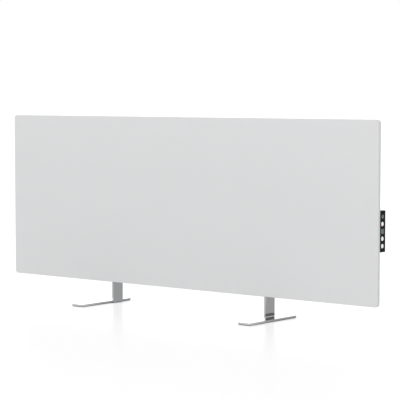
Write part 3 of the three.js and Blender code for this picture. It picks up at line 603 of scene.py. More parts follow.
@dataclass(frozen=True)
class PaintedGlass(Finish):
    """Toughened glass with paint fired on its back: faint roller waves and a ground edge.

    Attributes:
        edge_colour: The colour of the ground edge.
        wave: The depth of the roller waves in metres.
        wave_size: Their length in metres.
    """

    edge_colour: Colour = (0.6, 0.61, 0.605)
    wave: float = 0.00002
    wave_size: float = 0.06

    def dress(self, graph: Graph) -> None:
        """Wires the glass into a graph."""
        super().dress(graph)
        normal = graph.add("ShaderNodeNewGeometry").outputs["Normal"]
        facing = graph.add("ShaderNodeSeparateXYZ", Vector=normal).outputs["Y"]
        edge = graph.ranged(graph.sum(facing, facing, operation="MULTIPLY"), 0.9, 0.5, 0.0, 1.0)
        graph.set("Base Color", graph.mix(edge, self.tone(graph), self.edge_colour))
        fine = graph.ranged(graph.noise(self.grain_size * 6), 0.3, 0.7, -self.spread, self.spread)
        graph.set("Roughness", graph.sum(graph.ranged(edge, 0, 1, self.roughness, 0.42), fine))
        waves = graph.noise(self.wave_size, 1.0, (1, 1, 3))
        graph.bump(waves, self.wave)


@dataclass(frozen=True)
class RolledSteel(Finish):
    """Steel with a fine grain drawn along one direction.

    Attributes:
        along: How much longer the grain is along each axis.
        streak: The share by which its tone varies from streak to streak.
    """

    along: Colour = (1, 60, 1)
    streak: float = 0.05

    def dress(self, graph: Graph) -> None:
        """Wires the steel into a graph."""
        super().dress(graph)
        lines = graph.noise(self.grain_size, 4.0, self.along)
        sharp = graph.ranged(lines, 0.3, 0.7, 0.0, 1.0)
        low, high = shaded(self.colour, 1 - self.streak), shaded(self.colour, 1 + self.streak)
        tone = graph.mix(sharp, low, high)
        clouds = graph.ranged(graph.noise(self.cloud_size), 0.3, 0.7, 0, 0.4)
        graph.set("Base Color", graph.mix(clouds, tone, self.tone(graph)))
        low, high = self.roughness - self.spread, self.roughness + self.spread
        graph.set("Roughness", graph.ranged(lines, 0.3, 0.7, low, high))
        graph.bump(lines, self.grain)


@dataclass(frozen=True)
class CircuitBoard(Finish):
    """Solder mask over copper tracks.

    Attributes:
        pitch: The distance between tracks in metres.
        track: The colour of the mask where it covers a track.
    """

    pitch: float = 0.0022
    track: Colour = (0.045, 0.17, 0.08)

    def dress(self, graph: Graph) -> None:
        """Wires the board into a graph."""
        super().dress(graph)
        cells = graph.add("ShaderNodeTexVoronoi", Vector=graph.where, Scale=1 / self.pitch)
        cells.feature = "DISTANCE_TO_EDGE"
        tracks = graph.ranged(cells.outputs["Distance"], 0.10, 0.14, 1.0, 0.0)
        graph.set("Base Color", graph.mix(tracks, self.tone(graph), self.track))
        graph.bump(tracks, 0.00003)


@dataclass(frozen=True)
class Fibre(Finish):
    """Pressed mineral fibre: short strands in every direction."""

    def dress(self, graph: Graph) -> None:
        """Wires the fibre into a graph."""
        super().dress(graph)
        across, up = (graph.noise(0.0006, 4.0, way) for way in ((14, 1, 1), (1, 1, 14)))
        strands = graph.sum(across, up)
        graph.bump(strands, 0.0003)
        shade = graph.ranged(strands, 0.7, 1.3, 0.0, 1.0)
        graph.set("Base Color", graph.mix(shade, shaded(self.colour, 0.8), self.colour))


@dataclass(frozen=True)
class PrintedFilm(Finish):
    """Carbon film printed in upright bands.

    Attributes:
        band: The width of a band and its gap in metres.
    """

    band: float = 0.012

    def dress(self, graph: Graph) -> None:
        """Wires the film into a graph."""
        super().dress(graph)
        across = graph.add("ShaderNodeSeparateXYZ", Vector=graph.where).outputs["X"]
        wave = graph.sum(graph.sum(across, self.band, operation="DIVIDE"), 1.0, operation="PINGPONG")
        gap = graph.ranged(wave, 0.12, 0.16, 1.0, 0.0)
        graph.set("Base Color", graph.mix(gap, self.tone(graph), (0.16, 0.15, 0.13)))


@dataclass(frozen=True)
class LiquidCrystal(Finish):
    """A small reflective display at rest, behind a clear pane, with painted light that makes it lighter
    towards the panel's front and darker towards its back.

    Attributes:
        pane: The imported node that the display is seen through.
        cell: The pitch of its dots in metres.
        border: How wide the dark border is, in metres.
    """

    pane: str = "display_window"
    cell: float = 0.00045
    border: float = 0.0006

    def dress(self, graph: Graph) -> None:
        """Wires the display into a graph."""
        super().dress(graph)
        parts = graph.add("ShaderNodeSeparateXYZ", Vector=graph.where).outputs
        dots = []
        for name in ("Y", "Z"):
            step = graph.sum(parts[name], self.cell / 2, operation="DIVIDE")
            dots.append(graph.sum(step, 1.0, operation="PINGPONG"))
        grid = graph.ranged(graph.sum(*dots, operation="MINIMUM"), 0.12, 0.3, 1.0, 0.0)
        low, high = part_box(self.pane)
        middle, reach = (low + high) / 2, (high - low) / 2
        # painted light: the display's ground runs from lighter at the panel's front to darker at its back
        slope = graph.ranged(parts["Y"], low.y, high.y, 0.0, 1.0)
        ground = graph.mix(slope, shaded(self.colour, 1.5), shaded(self.colour, 0.65))
        dots_over_painted_light = graph.mix(grid, ground, graph.mix(0.25, ground, (0.0, 0.0, 0.0)))
        edges = []
        for name, centre, half in (("Y", middle.y, reach.y), ("Z", middle.z, reach.z)):
            offset = graph.sum(parts[name], centre, operation="SUBTRACT")
            away = graph.sum(graph.sum(offset, offset, operation="MULTIPLY"), 0.5, operation="POWER")
            edges.append(graph.ranged(away, half - self.border, half - self.border / 2, 0.0, 1.0))
        border = graph.sum(*edges, operation="MAXIMUM")
        graph.set("Base Color", graph.mix(border, dots_over_painted_light, shaded(self.colour, 0.35)))


WHITE_GLASS = PaintedGlass(
    "fired white glass", "white_glass", (0.672, 0.675, 0.682), 0.24, spread=0.02, cloud=0.006,
    cloud_size=0.18, grain_size=0.0004)
SILICONE = Finish("pale silicone", "pale_silicone", (0.56, 0.565, 0.56), 0.6, grain=0.00002)
POWDER_COAT = Finish(
    "fine powder coat", "painted_steel", (0.62, 0.625, 0.63), 0.5, cloud=0.015, grain=0.00004,
    grain_size=0.0007)
POLISHED_STEEL = RolledSteel(
    "polished steel", "polished_steel", (0.6, 0.605, 0.615), 0.08, spread=0.03, metallic=1.0,
    cloud=0.02, grain=0.000002, grain_size=0.0003)
GLOSS_BLACK = Finish(
    "gloss black", "gloss_black", (0.004, 0.004, 0.005), 0.12, spread=0.05, specular=0.12,
    cloud=0.2, grain_size=0.0008)
BLACK_PLASTIC = Finish(
    "moulded black plastic", "black_plastic", (0.018, 0.018, 0.02), 0.55, cloud=0.08,
    grain=0.00004, grain_size=0.0005)
WHITE_PLASTIC = Finish(
    "white key plastic", "white_plastic", (0.93, 0.93, 0.925), 0.3, cloud=0.01, grain=0.000008,
    grain_size=0.0005, coat=0.2)
DISPLAY = LiquidCrystal(
    "display glass", "display_tint", (0.115, 0.155, 0.138), 0.1, coat=0.3, cloud=0.05)
SMOKE = Finish("smoked lens", "smoke_tint", (0.13, 0.14, 0.14), 0.12, coat=0.4, cloud=0.05)
RUBBER = Finish(
    "black rubber", "black_rubber", (0.02, 0.02, 0.02), 0.85, cloud=0.1, grain=0.00005, grain_size=0.0008)
CARBON_FILM = PrintedFilm("carbon film", "carbon_film", (0.02, 0.02, 0.022), 0.5)
COPPER = RolledSteel(
    "copper strip", "copper", (0.72, 0.36, 0.22), 0.35, metallic=1.0, grain=0.000004,
    grain_size=0.0003, along=(60, 1, 1))
FOIL = RolledSteel(
    "rolled foil", "foil", (0.75, 0.76, 0.77), 0.3, metallic=1.0, grain=0.00001, grain_size=0.0004,
    along=(60, 1, 1))
MINERAL_WOOL = Fibre("mineral wool", "mineral_wool", (0.74, 0.7, 0.6), 0.95)
BROWN_PVC = Finish("brown cable sheath", "brown_pvc", (0.15, 0.06, 0.025), 0.45)
BLUE_PVC = Finish("blue cable sheath", "blue_pvc", (0.03, 0.1, 0.38), 0.45)
GREEN_PVC = Finish("green cable sheath", "green_pvc", (0.08, 0.3, 0.06), 0.45)
BOARD = CircuitBoard("circuit board", "circuit_green", (0.015, 0.09, 0.04), 0.35, cloud=0.1)
ZINC = Finish(
    "zinc plate", "zinc_steel", (0.5, 0.51, 0.53), 0.32, spread=0.08, metallic=1.0, cloud=0.06,
    cloud_size=0.004, grain=0.000006, grain_size=0.0004)
BRASS = Finish("turned brass", "brass", (0.6, 0.43, 0.15), 0.3, metallic=1.0, cloud=0.05)
BLUE_PLASTIC = Finish("blue relay case", "blue_plastic", (0.03, 0.09, 0.26), 0.4, grain=0.00002)


# ---------------------------------------------------------------- sub-assemblies
def dress_nodes(finish: Finish, *nodes: str) -> None:
    """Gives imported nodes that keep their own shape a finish."""
    for node in nodes:
        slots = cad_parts[node].data.materials
        if slots:
            slots[0] = finish.material()
        else:
            slots.append(finish.material())
        log.info("node %s in %s", node, finish.name)


@dataclass
class FrontPanel:
    """The glass front and the seal behind it.

    Attributes:
        corner: The radius of the panel's corners.
        seam: The radius of the glass's ground edges.
        seal_width: The width of the seal.
    """

    corner: float = 7.0
    seam: float = 0.8
    seal_width: float = 12.0

    def build(self) -> None:
        """Builds the glass and the seal."""
        low, high = span("front_glass")
        outline = rectangle((low.x, low.z), (high.x, high.z), self.corner, 16)
        glass = Solid.extruded([outline], Axis.Y, low.y, high.y, self.seam, 5)
        glass.place("glass_front", WHITE_GLASS, replaces=["front_glass"])
        low, high = span("edge_seal")
        inset = self.seal_width - 0.5
        ring = [
            rectangle((low.x, low.z), (high.x, high.z), self.corner - 0.5, 16),
            rectangle((low.x + inset, low.z + inset), (high.x - inset, high.z - inset), 2.0),
        ]
        Solid.extruded(ring, Axis.Y, low.y, high.y).place("seal", SILICONE, replaces=["edge_seal"])


@dataclass
class RearCover:
    """The flat frame, the pressed tray on it with its beads and vents, and the brackets on the tray.

    Attributes:
        sheet: The thickness of the frame's and the tray's sheet.
        inset: From the frame's edge to the foot of the tray's wall.
        lip: How far the tray's foot is turned in.
        slope: How far the wall leans inwards over its height.
        shoulder: The outside radius between wall and back.
        corner: The radius of the tray's corners at the wall's foot.
        bay_left: The left side of the bay for the control box.
        bay_levels: The bay's lower and upper end at the wall's foot.
        bay_corner: The radius of the bay's inner corners.
        bead_levels: The heights of the beads.
        bead_length: Their length.
        bead_half: Half their width at the foot.
        bead_rise: How far they stand out.
        vent_rows: The height and the count of each row of vents.
        vent_pitch: The distance from vent to vent.
        vent_size: A vent's length and width.
        foot_screw_x: How far the foot screws are from the middle.
        foot_screw_levels: Their heights.
    """

    sheet: float = 1.2
    inset: float = 20.0
    lip: float = 5.0
    slope: float = 6.0
    shoulder: float = 1.4
    corner: float = 16.0
    bay_left: float = 428.0
    bay_levels: Point = (127.0, 247.0)
    bay_corner: float = 5.0
    bead_levels: tuple[float, ...] = (188.0, 232.5, 277.0)
    bead_length: float = 620.0
    bead_half: float = 9.0
    bead_rise: float = 2.0
    vent_rows: tuple[tuple[float, int], ...] = ((96.0, 9), (372.0, 13))
    vent_pitch: float = 34.0
    vent_size: Point = (26.0, 3.0)
    foot_screw_x: float = 196.0
    foot_screw_levels: tuple[float, ...] = (102.0, 136.0)
    frame_box: tuple[Vector, Vector] = field(default_factory=lambda: span("rear_frame"))
    tray_box: tuple[Vector, Vector] = field(default_factory=lambda: span("rear_cover"))

    @property
    def frame_back(self) -> float:
        """The level of the frame's back."""
        return self.frame_box[1].y

    @property
    def tray_back(self) -> float:
        """The level of the tray's flat back."""
        return self.tray_box[1].y - self.bead_rise

    def outline(self, inset: float) -> Outline:
        """Draws the tray at an inset from the panel's edge, with the bay for the control box."""
        low, high = span("front_glass")
        lean = inset - self.inset
        left, right = low.x + inset, high.x - inset
        bottom, top = low.z + inset, high.z - inset
        bay_bottom, bay_top = self.bay_levels[0] - lean, self.bay_levels[1] + lean
        bay_left = self.bay_left - lean
        outer, inner = self.corner - lean / 2, self.bay_corner + lean / 2
        corners = [
            (left, bottom), (right, bottom), (right, bay_bottom), (bay_left, bay_bottom),
            (bay_left, bay_top), (right, bay_top), (right, top), (left, top),
        ]
        return rounded(corners, [outer, outer, outer / 2, inner, inner, outer / 2, outer, outer], 10)

    def wall(self, start: float, back: float, shrink: float, shoulder: float) -> Solid:
        """Lofts the tray's wall and back.

        Args:
            start: The level where the wall starts.
            back: The level of the back.
            shrink: How much further in the wall stands.
            shoulder: The radius between wall and back.

        Returns:
            The solid.
        """
        lean = self.slope / (self.tray_back - self.frame_back)

        def inset_at(level: float) -> float:
            return self.inset + shrink + (level - self.frame_back) * lean

        top = back - shoulder
        rings = [(start, inset_at(start)), (top, inset_at(top))]
        for step in range(1, 6):
            angle = math.radians(18 * step)
            rings.append((
                top + shoulder * math.sin(angle),
                inset_at(top) + shoulder * (1 - math.cos(angle)),
            ))
        return Solid.lofted([(level, self.outline(inset)) for level, inset in rings])

    def bead(self, height: float, outside: bool) -> Solid:
        """Lofts a pressed bead: its outside, or the hollow behind it."""
        margin = self.sheet if outside else 0.0
        foot = self.tray_back - (0.6 if outside else self.sheet + 1)
        crown = self.tray_back + self.bead_rise - (0.0 if outside else self.sheet)
        rings = [(foot, self.bead_half + margin)]
        for step in range(7):
            share = step / 6
            level = self.tray_back - (0 if outside else self.sheet) + share * self.bead_rise
            rings.append((min(level, crown), self.bead_half - 3.4 * share**1.6 + margin))
        straight = self.bead_length - 2 * self.bead_half
        shapes = [
            (level, slot((0.0, height), straight + 2 * half, 2 * half, 10)) for level, half in rings
        ]
        return Solid.lofted(shapes)

    def build(self) -> None:
        """Builds the frame, the tray, then its brackets."""
        low, high = self.frame_box
        mouth = self.outline(self.inset + self.sheet + self.lip)
        sheet = [rectangle((low.x, low.z), (high.x, high.z), 6.7, 16), mouth]
        Solid.extruded(sheet, Axis.Y, low.y, high.y, 0.25, 2).place(
            "back_frame", POWDER_COAT, replaces=["rear_frame"])
        foot = self.tray_box[0].y
        inside = self.tray_back - self.sheet
        tray = self.wall(foot, self.tray_back, 0.0, self.shoulder)
        hollow = self.wall(foot + self.sheet, inside, self.sheet + 0.1, 0.6)
        lip_hole = Solid.extruded([mouth], Axis.Y, foot - 1, foot + self.sheet + 1)
        body = tray.combined(Cut.TAKE, hollow.combined(Cut.ADD, lip_hole))
        screws = [(x * self.foot_screw_x, z) for x in (-1, 1) for z in self.foot_screw_levels]
        bosses = [
            Solid.extruded([circle(spot, 4.0, 28)], Axis.Y, inside - 2.2, inside + 0.5) for spot in screws
        ]
        body = body.combined(Cut.ADD, *[self.bead(z, True) for z in self.bead_levels], Solid.group(bosses))
        body = body.combined(Cut.TAKE, *[self.bead(z, False) for z in self.bead_levels])
        vents = []
        for height, count in self.vent_rows:
            for i in range(count):
                spot = ((i - (count - 1) / 2) * self.vent_pitch, height)
                shape = slot(spot, *self.vent_size, 6)
                vents.append(Solid.extruded([shape], Axis.Y, inside - 1, self.tray_back + 1))
        holes = [
            Solid.extruded([circle(spot, 2.6, 28)], Axis.Y, inside - 4, self.tray_back + 1)
            for spot in screws
        ]
        y, z = middle_of("lead_grommet", "yz")
        oval = rectangle((y - 2.3, z - 6.5), (y + 2.3, z + 6.5), 2.29)
        lead_hole = Solid.extruded([oval], Axis.X, self.bay_left - 12, self.bay_left + 4)
        body = body.combined(Cut.TAKE, Solid.group(vents), Solid.group(holes), lead_hole)
        body.place("back_tray", POWDER_COAT, replaces=["rear_cover"], sharp=38)
        for side, sign in SIDES:
            self.bracket(side, sign)

    def bracket(self, side: str, sign: int) -> None:
        """Builds a keyhole bracket and its two rivets.

        Args:
            side: left or right.
            sign: -1 or 1, for that side; not used.
        """
        low, high = span(f"{side}_hanger_bracket")
        middle = (low.x + high.x) / 2
        web, lean = 13.0, 3.0
        foot_level, web_level = low.y + self.sheet / 2, high.y - self.sheet / 2
        line = [
            (low.x, foot_level), (middle - web, foot_level), (middle - web + lean, web_level),
            (middle + web - lean, web_level), (middle + web, foot_level), (high.x, foot_level),
        ]
        strip = Solid.extruded([folded_strip(line, self.sheet, 1.0)], Axis.Z, low.z, high.z, 0.15, 2)
        entry, end = low.z + 20.0, low.z + 40.0
        head, shank = 5.0, 2.5
        reach = math.asin(shank / head)
        keyhole = [
            (middle + head * math.cos(a), entry + head * math.sin(a))
            for a in [math.pi / 2 + reach + (2 * math.pi - 2 * reach) * k / 32 for k in range(33)]
        ]
        keyhole += [
            (middle + shank * math.cos(math.pi * k / 12), end + shank * math.sin(math.pi * k / 12))
            for k in range(13)
        ]
        tools = [Solid.extruded([keyhole], Axis.Y, web_level - 3, web_level + 3)]
        seat = low.y + self.sheet + 0.3
        crown = dome((0.0, seat), 3.2, 1.5, range(0, 90, 15))
        profile = [(0, low.y), (1.6, low.y), (1.6, seat), *crown, (0, seat + 1.5)]
        for end_name in ("a", "b"):
            node = f"{side}_hanger_rivet_{end_name}"
            hole = circle(middle_of(node), 1.9, 24)
            tools.append(Solid.extruded([hole], Axis.Y, foot_level - 3, foot_level + 3))
            Solid.turned(profile, Axis.Y, middle_of(node), 32).place(
                f"{side}_rivet_{end_name}", ZINC, replaces=[node])
        strip.combined(Cut.TAKE, *tools).place(
            f"{side}_keyhole_bracket", ZINC, replaces=[f"{side}_hanger_bracket"])


@dataclass
class Foot:
    """A foot folded from one sheet, with its pads and screws. Drawn as the right one.

    Attributes:
        sheet: The sheet's thickness.
        base_level: The height of the base's underside.
        base_edge: The base's inner edge, where the lower bend starts.
        base_width: The base's width.
        base_bend: The lower bend's inside radius.
        base_corner: The radius of the base's corners.
        flange_bend: The flange bend's inside radius.
        post_front: The upright's front face.
        post_depth: The upright's depth, front to back.
        taper_level: The height where the upright starts to narrow.
        top_depth: The upright's depth at its top.
        flange_level: The flange's lower end.
        flange_reach: How far the flange reaches sideways.
        pad_inset: From the base's edge to a pad's.
        pad_space: Between the front and the rear pad.
    """

    sheet: float = 4.0
    base_level: float = 1.0
    base_edge: float = 215.6
    base_width: float = 30.4
    base_bend: float = 1.6
    base_corner: float = 1.2
    flange_bend: float = 2.0
    post_front: float = 15.1
    post_depth: float = 31.7
    taper_level: float = 78.0
    top_depth: float = 16.0
    flange_level: float = 86.0
    flange_reach: float = 30.0
    pad_inset: float = 1.0
    pad_space: float = 5.0
    box: tuple[Vector, Vector] = field(default_factory=lambda: span("right_foot"))

    @property
    def base_radius(self) -> float:
        """The lower bend's radius at the middle of the sheet."""
        return self.base_bend + self.sheet / 2

    @property
    def flange_radius(self) -> float:
        """The flange bend's radius at the middle of the sheet."""
        return self.flange_bend + self.sheet / 2

    @property
    def bend_level(self) -> float:
        """The height of the lower bend's centre."""
        return self.base_level + self.sheet + self.base_bend

    def reach(self, level: float) -> float:
        """Gives where a height on the upright is in the flat sheet, measured from the bend's start."""
        return self.base_radius * math.pi / 2 + level - self.bend_level

    @property
    def fold_line(self) -> float:
        """Where the flange's bend starts, in Y."""
        return self.post_front + self.sheet + self.flange_bend

    def flange_spot(self, distance: float) -> float:
        """Gives where a distance beyond the flange's bend is in the flat sheet, in Y."""
        return self.fold_line - self.flange_radius * math.pi / 2 - distance

    def blank(self) -> list[Outline]:
        """Draws the flat sheet: first the distance from the lower bend's start, then Y."""
        front, back = self.box[0].y, self.box[1].y
        top, post_back = self.box[1].z, self.post_front + self.post_depth
        flange_end = self.flange_spot(self.flange_reach - self.flange_bend)
        corners = [
            ((-self.base_width, front), self.base_corner),
            ((0.0, front), self.base_corner),
            ((0.0, self.post_front), 0.8),
            ((self.reach(self.flange_level - 4), self.post_front), 1.2),
            ((self.reach(self.flange_level - 4), self.fold_line), 1.2),
            ((self.reach(self.flange_level), self.fold_line), 1.2),
            ((self.reach(self.flange_level), flange_end), 3.0),
            ((self.reach(top), flange_end), 3.0),
            ((self.reach(top), self.post_front + self.top_depth), 5.0),
            ((self.reach(self.taper_level), post_back), 20.0),
            ((0.0, post_back), 0.8),
            ((0.0, back), self.base_corner),
            ((-self.base_width, back), self.base_corner),
        ]
        holes = []
        for level in RearCover.foot_screw_levels:
            inner = self.base_edge - self.base_bend - self.sheet - self.flange_bend
            offset = inner - RearCover.foot_screw_x
            holes.append(circle((self.reach(level), self.flange_spot(offset)), 2.7, 32))
        return [rounded([spot for spot, _ in corners], [radius for _, radius in corners], 10), *holes]

    def folded(self, point: Vector) -> Vector:
        """Takes a point of the flat sheet to its place on the foot.

        Args:
            point: Distance from the lower bend's start, Y, and height above the sheet's middle.

        Returns:
            The point in the frame.
        """
        along, across, proud = point
        if along <= 0:
            return Vector((self.base_edge - along, across, self.base_level + self.sheet / 2 + proud))
        x, y = self.base_edge - self.base_radius + proud, across
        past = self.fold_line - across
        if past > 0 and along > self.reach(self.flange_level - 5):
            centre = x - proud - self.flange_radius
            angle = min(past / self.flange_radius, math.pi / 2)
            radius = self.flange_radius + proud
            x = centre + radius * math.cos(angle) - max(past - self.flange_radius * math.pi / 2, 0)
            y = self.fold_line - radius * math.sin(angle)
        if along >= self.base_radius * math.pi / 2:
            return Vector((x, y, along - self.base_radius * math.pi / 2 + self.bend_level))
        angle = along / self.base_radius
        radius = self.base_radius - proud
        return Vector((
            self.base_edge - radius * math.sin(angle), y, self.bend_level - radius * math.cos(angle)))

    def build(self) -> None:
        """Builds both feet, their pads and their screws."""
        flat = Solid.extruded(self.blank(), Axis.Z, -self.sheet / 2, self.sheet / 2, 0.35, 3)
        lower = self.base_radius * math.pi / 2
        flange = self.flange_radius * math.pi / 2
        cuts = [(Vector((lower * k / 14, 0, 0)), Vector((1, 0, 0))) for k in range(15)]
        cuts += [
            (Vector((0, self.fold_line - flange * k / 10, 0)), Vector((0, 1, 0))) for k in range(11)
        ]
        foot = flat.bent(cuts, self.folded)
        foot.mirrored().place("left_foot_sheet", POLISHED_STEEL, replaces=["left_foot"])
        foot.place("right_foot_sheet", POLISHED_STEEL, replaces=["right_foot"])
        for side, sign in SIDES:
            for end, way in (("front", -1), ("rear", 1)):
                self.pad(sign, way).place(
                    f"{side}_{end}_pad", RUBBER, replaces=[f"{side}_foot_pad_{end}"])
            for place in ("lower", "upper"):
                self.screw(f"{side}_foot_screw_{place}", f"{side}_{place}_button_screw")

    def pad(self, sign: int, way: int) -> Solid:
        """Builds a rubber pad that is stuck under the base.

        Args:
            sign: -1 for the left foot and 1 for the right.
            way: -1 for the front pad and 1 for the rear.

        Returns:
            The pad.
        """
        sides = sorted((
            sign * (self.base_edge + self.pad_inset),
            sign * (self.base_edge + self.base_width - self.pad_inset),
        ))
        ends = sorted((way * self.pad_space / 2, way * (self.box[1].y - self.pad_inset)))
        shape = rectangle((sides[0], ends[0]), (sides[1], ends[1]), 1.0)
        return Solid.extruded([shape], Axis.Z, 0.0, self.base_level, 0.1, 2)

    def screw(self, node: str, name: str) -> None:
        """Builds a button-head screw.

        Args:
            node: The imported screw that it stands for.
            name: The piece's name.
        """
        spot, tip = middle_of(node), span(node)[0].y
        seat = self.post_front + self.sheet + 0.1
        crown = seat + 3.9
        profile = [
            (0, tip), (1.8, tip), (2.3, tip + 0.5), (2.3, seat), (5.2, seat), (5.2, seat + 0.8),
            *dome((0.0, seat + 1.0), 5.0, 2.9, range(0, 80, 10)), (0, crown),
        ]
        head = Solid.turned(profile, Axis.Y, spot, 40)
        socket = Solid.extruded([circle(spot, 1.75, 6)], Axis.Y, seat + 1.8, crown + 1)
        head.combined(Cut.TAKE, socket).place(name, ZINC, replaces=[node])


@dataclass
class ControlBox:
    """The control housing's dress, its lid and fascia, and the windows and keys in the fascia.

    Attributes:
        key_radius: A key's radius.
        gap: The clearance round a key or a window.
        window: The display window's side.
        status_radius: The status window's radius.
        face: The level of the fascia's face, in X.
        key_recess: How far a key's face is below it.
        pane_recess: How far the display pane is below it.
    """

    key_radius: float = 4.6
    gap: float = 0.3
    window: float = 11.0
    status_radius: float = 4.2
    face: float = 499.95
    key_recess: float = 0.75
    pane_recess: float = 0.1

    def build(self) -> None:
        """Builds the lid, the fascia, the windows and the keys, and dresses the housing."""
        dress_nodes(BLACK_PLASTIC, "control_housing")
        self.fascia()
        self.lid()
        for key in ("upper", "middle", "lower"):
            self.key(key)

    def fascia(self) -> None:
        """Builds the fascia and its two windows."""
        low, high = span("control_fascia")
        plate = [rectangle((low.y, low.z), (high.y, high.z), 1.5)]
        for key in ("upper", "middle", "lower"):
            plate.append(circle(self.spot(f"{key}_button"), self.key_radius + self.gap, 56))
        plate.append(circle(self.spot("status_window"), self.status_radius + self.gap, 48))
        centre = self.spot("display_window")
        plate.append(self.pane(centre, self.window / 2))
        Solid.extruded(plate, Axis.X, low.x, self.face, 0.25, 3).place(
            "fascia", GLOSS_BLACK, replaces=["control_fascia"])

        outline = self.pane(centre, self.window / 2 - self.gap)
        start, top = span("display_window")[0].x, self.face - self.pane_recess
        Solid.extruded([outline], Axis.X, start, top, 0.15, 3).place(
            "display_pane", DISPLAY, replaces=["display_window"])
        start, top = span("status_window")[0].x, self.face
        radius, edge = self.status_radius, 0.4
        rim = dome((radius - edge, top - edge), edge, edge, range(0, 90, 15))
        profile = [(0, start), (radius, start), *rim, (radius - 1.2, top), (0, top - 0.05)]
        Solid.turned(profile, Axis.X, self.spot("status_window"), 56).place(
            "status_lens", SMOKE, replaces=["status_window"])

    def pane(self, centre: Point, half: float) -> Outline:
        """Draws the display's square, with its rounded corners."""
        low = (centre[0] - half, centre[1] - half)
        return rectangle(low, (centre[0] + half, centre[1] + half), 1.2)

    def spot(self, node: str) -> Point:
        """Gives the middle of a node in Y and Z."""
        return middle_of(node, "yz")

    def lid(self) -> None:
        """Builds the lid with its vents, and its screws."""
        low, high = span("control_lid")
        corners = [(low.x, low.z), (high.x, low.z), (high.x, high.z), (low.x, high.z)]
        centre = middle_of("control_lid")
        vents = [slot((centre[0] - 4, centre[1] + 15 + 5 * row), 30, 2) for row in range(-2, 3)]
        plate = [rounded(corners, [4, 0.6, 0.6, 4]), *vents]
        lid = Solid.extruded(plate, Axis.Y, low.y, high.y, 0.4, 3)
        back = high.y
        seat = [
            (0, back - 5), (1.3, back - 5), (1.3, back - 1.3), (2.6, back), (2.6, back + 1),
            (0, back + 1),
        ]
        seats = []
        ends = [f"{level}_{side}" for level in ("lower", "upper") for side in ("left", "right")]
        for node in [f"lid_screw_{end}" for end in ends]:
            spot, tip = middle_of(node), span(node)[0].y
            seats.append(Solid.turned(seat, Axis.Y, spot, 32))
            head = [
                (0, tip), (0.9, tip), (0.9, back - 1.3), (2.1, back - 0.15), (1.9, back - 0.1),
                (0, back - 0.1),
            ]
            cross = [
                Solid.extruded([shape], Axis.Y, back - 0.8, back + 1)
                for shape in (slot(spot, 2.6, 0.5, 3), upright(spot, 2.6, 0.5))
            ]
            Solid.turned(head, Axis.Y, spot, 32).combined(Cut.TAKE, *cross).place(
                f"{node}_head", ZINC, replaces=[node])
        lid.combined(Cut.TAKE, Solid.group(seats)).place(
            "housing_lid", BLACK_PLASTIC, replaces=["control_lid"])

    def key(self, name: str) -> None:
        """Builds a round key, with its plunger dressed.

        Args:
            name: upper, middle or lower.
        """
        node = f"{name}_button"
        start, top = span(node)[0].x, self.face - self.key_recess
        collar = span("control_fascia")[0].x - self.gap
        radius = self.key_radius
        edge, depth = 0.5, 0.3
        crown = dome((radius - edge, top - edge), edge, edge, range(0, 91, 15))
        dish = [
            (radius * share, top - depth * (1 - (share / 0.85) ** 2))
            for share in (0.8, 0.65, 0.5, 0.3, 0.15)
        ]
        profile = [
            (0, start), (2, start), (2, collar - 1), (radius + 0.9, collar - 1), (radius + 0.9, collar),
            (radius, collar), *crown, *dish, (0, top - depth),
        ]
        body = f"{name}_button_body"
        Solid.turned(profile, Axis.X, self.spot(node), 64).place(
            f"{name}_key", WHITE_PLASTIC, body=body, replaces=[node])
        dress_nodes(BLACK_PLASTIC, f"{name}_switch_plunger", f"{name}_key_switch")


@dataclass
class MainsInlet:
    """The cord gland under the control housing.

    Attributes:
        grips: How many finger grooves its nut has.
    """

    grips: int = 12

    def build(self) -> None:
        """Builds the gland."""
        low, high = span("cord_gland")
        housing = span("control_housing")[0].z
        centre = middle_of("cord_gland", "xy")
        below, above = housing - 0.3, housing + 2.1
        profile = [
            (3.4, low.z), (5.0, low.z), (5.5, low.z + 0.3), (6.0, low.z + 1.1),
            (6.0, below - 3.4), (6.4, below - 3.2), (6.4, below), (4.5, below), (4.5, above),
            (6.0, above), (6.0, high.z - 0.3), (5.7, high.z), (3.4, high.z), (3.4, low.z),
        ]
        nut = Solid.turned(profile, Axis.Z, centre, 60)
        grooves = []
        for k in range(self.grips):
            angle = 2 * math.pi * k / self.grips
            spot = (centre[0] + 6.3 * math.cos(angle), centre[1] + 6.3 * math.sin(angle))
            grooves.append(Solid.extruded([circle(spot, 0.6, 16)], Axis.Z, low.z - 1, below - 3.6))
        nut.combined(Cut.TAKE, Solid.group(grooves)).place(
            "inlet_gland", BLACK_PLASTIC, replaces=["cord_gland"])


class Works:
    """Everything that the glass, the cover and the housing enclose."""

    def build(self) -> None:
        """Dresses the enclosed nodes."""
        dress_nodes(CARBON_FILM, "heating_film")
        dress_nodes(COPPER, "upper_bus_bar", "lower_bus_bar")
        dress_nodes(FOIL, "reflector_foil")
        dress_nodes(MINERAL_WOOL, "insulation_board")
        dress_nodes(BOARD, "key_board", "power_board")
        dress_nodes(BLACK_PLASTIC, "tip_over_switch", "power_supply")
        dress_nodes(BLUE_PLASTIC, "relay")
        dress_nodes(WHITE_PLASTIC, "terminal_block")
        dress_nodes(DISPLAY, "display_module")
        dress_nodes(SMOKE, "status_led")
        dress_nodes(BLUE_PVC, "neutral_lead")
        dress_nodes(BROWN_PVC, "live_lead_lower", "live_lead_upper")
        dress_nodes(GREEN_PVC, "earth_lead")
        dress_nodes(BRASS, "earth_stud")
        dress_nodes(ZINC, "thermal_cutout")
        dress_nodes(RUBBER, "lead_grommet")


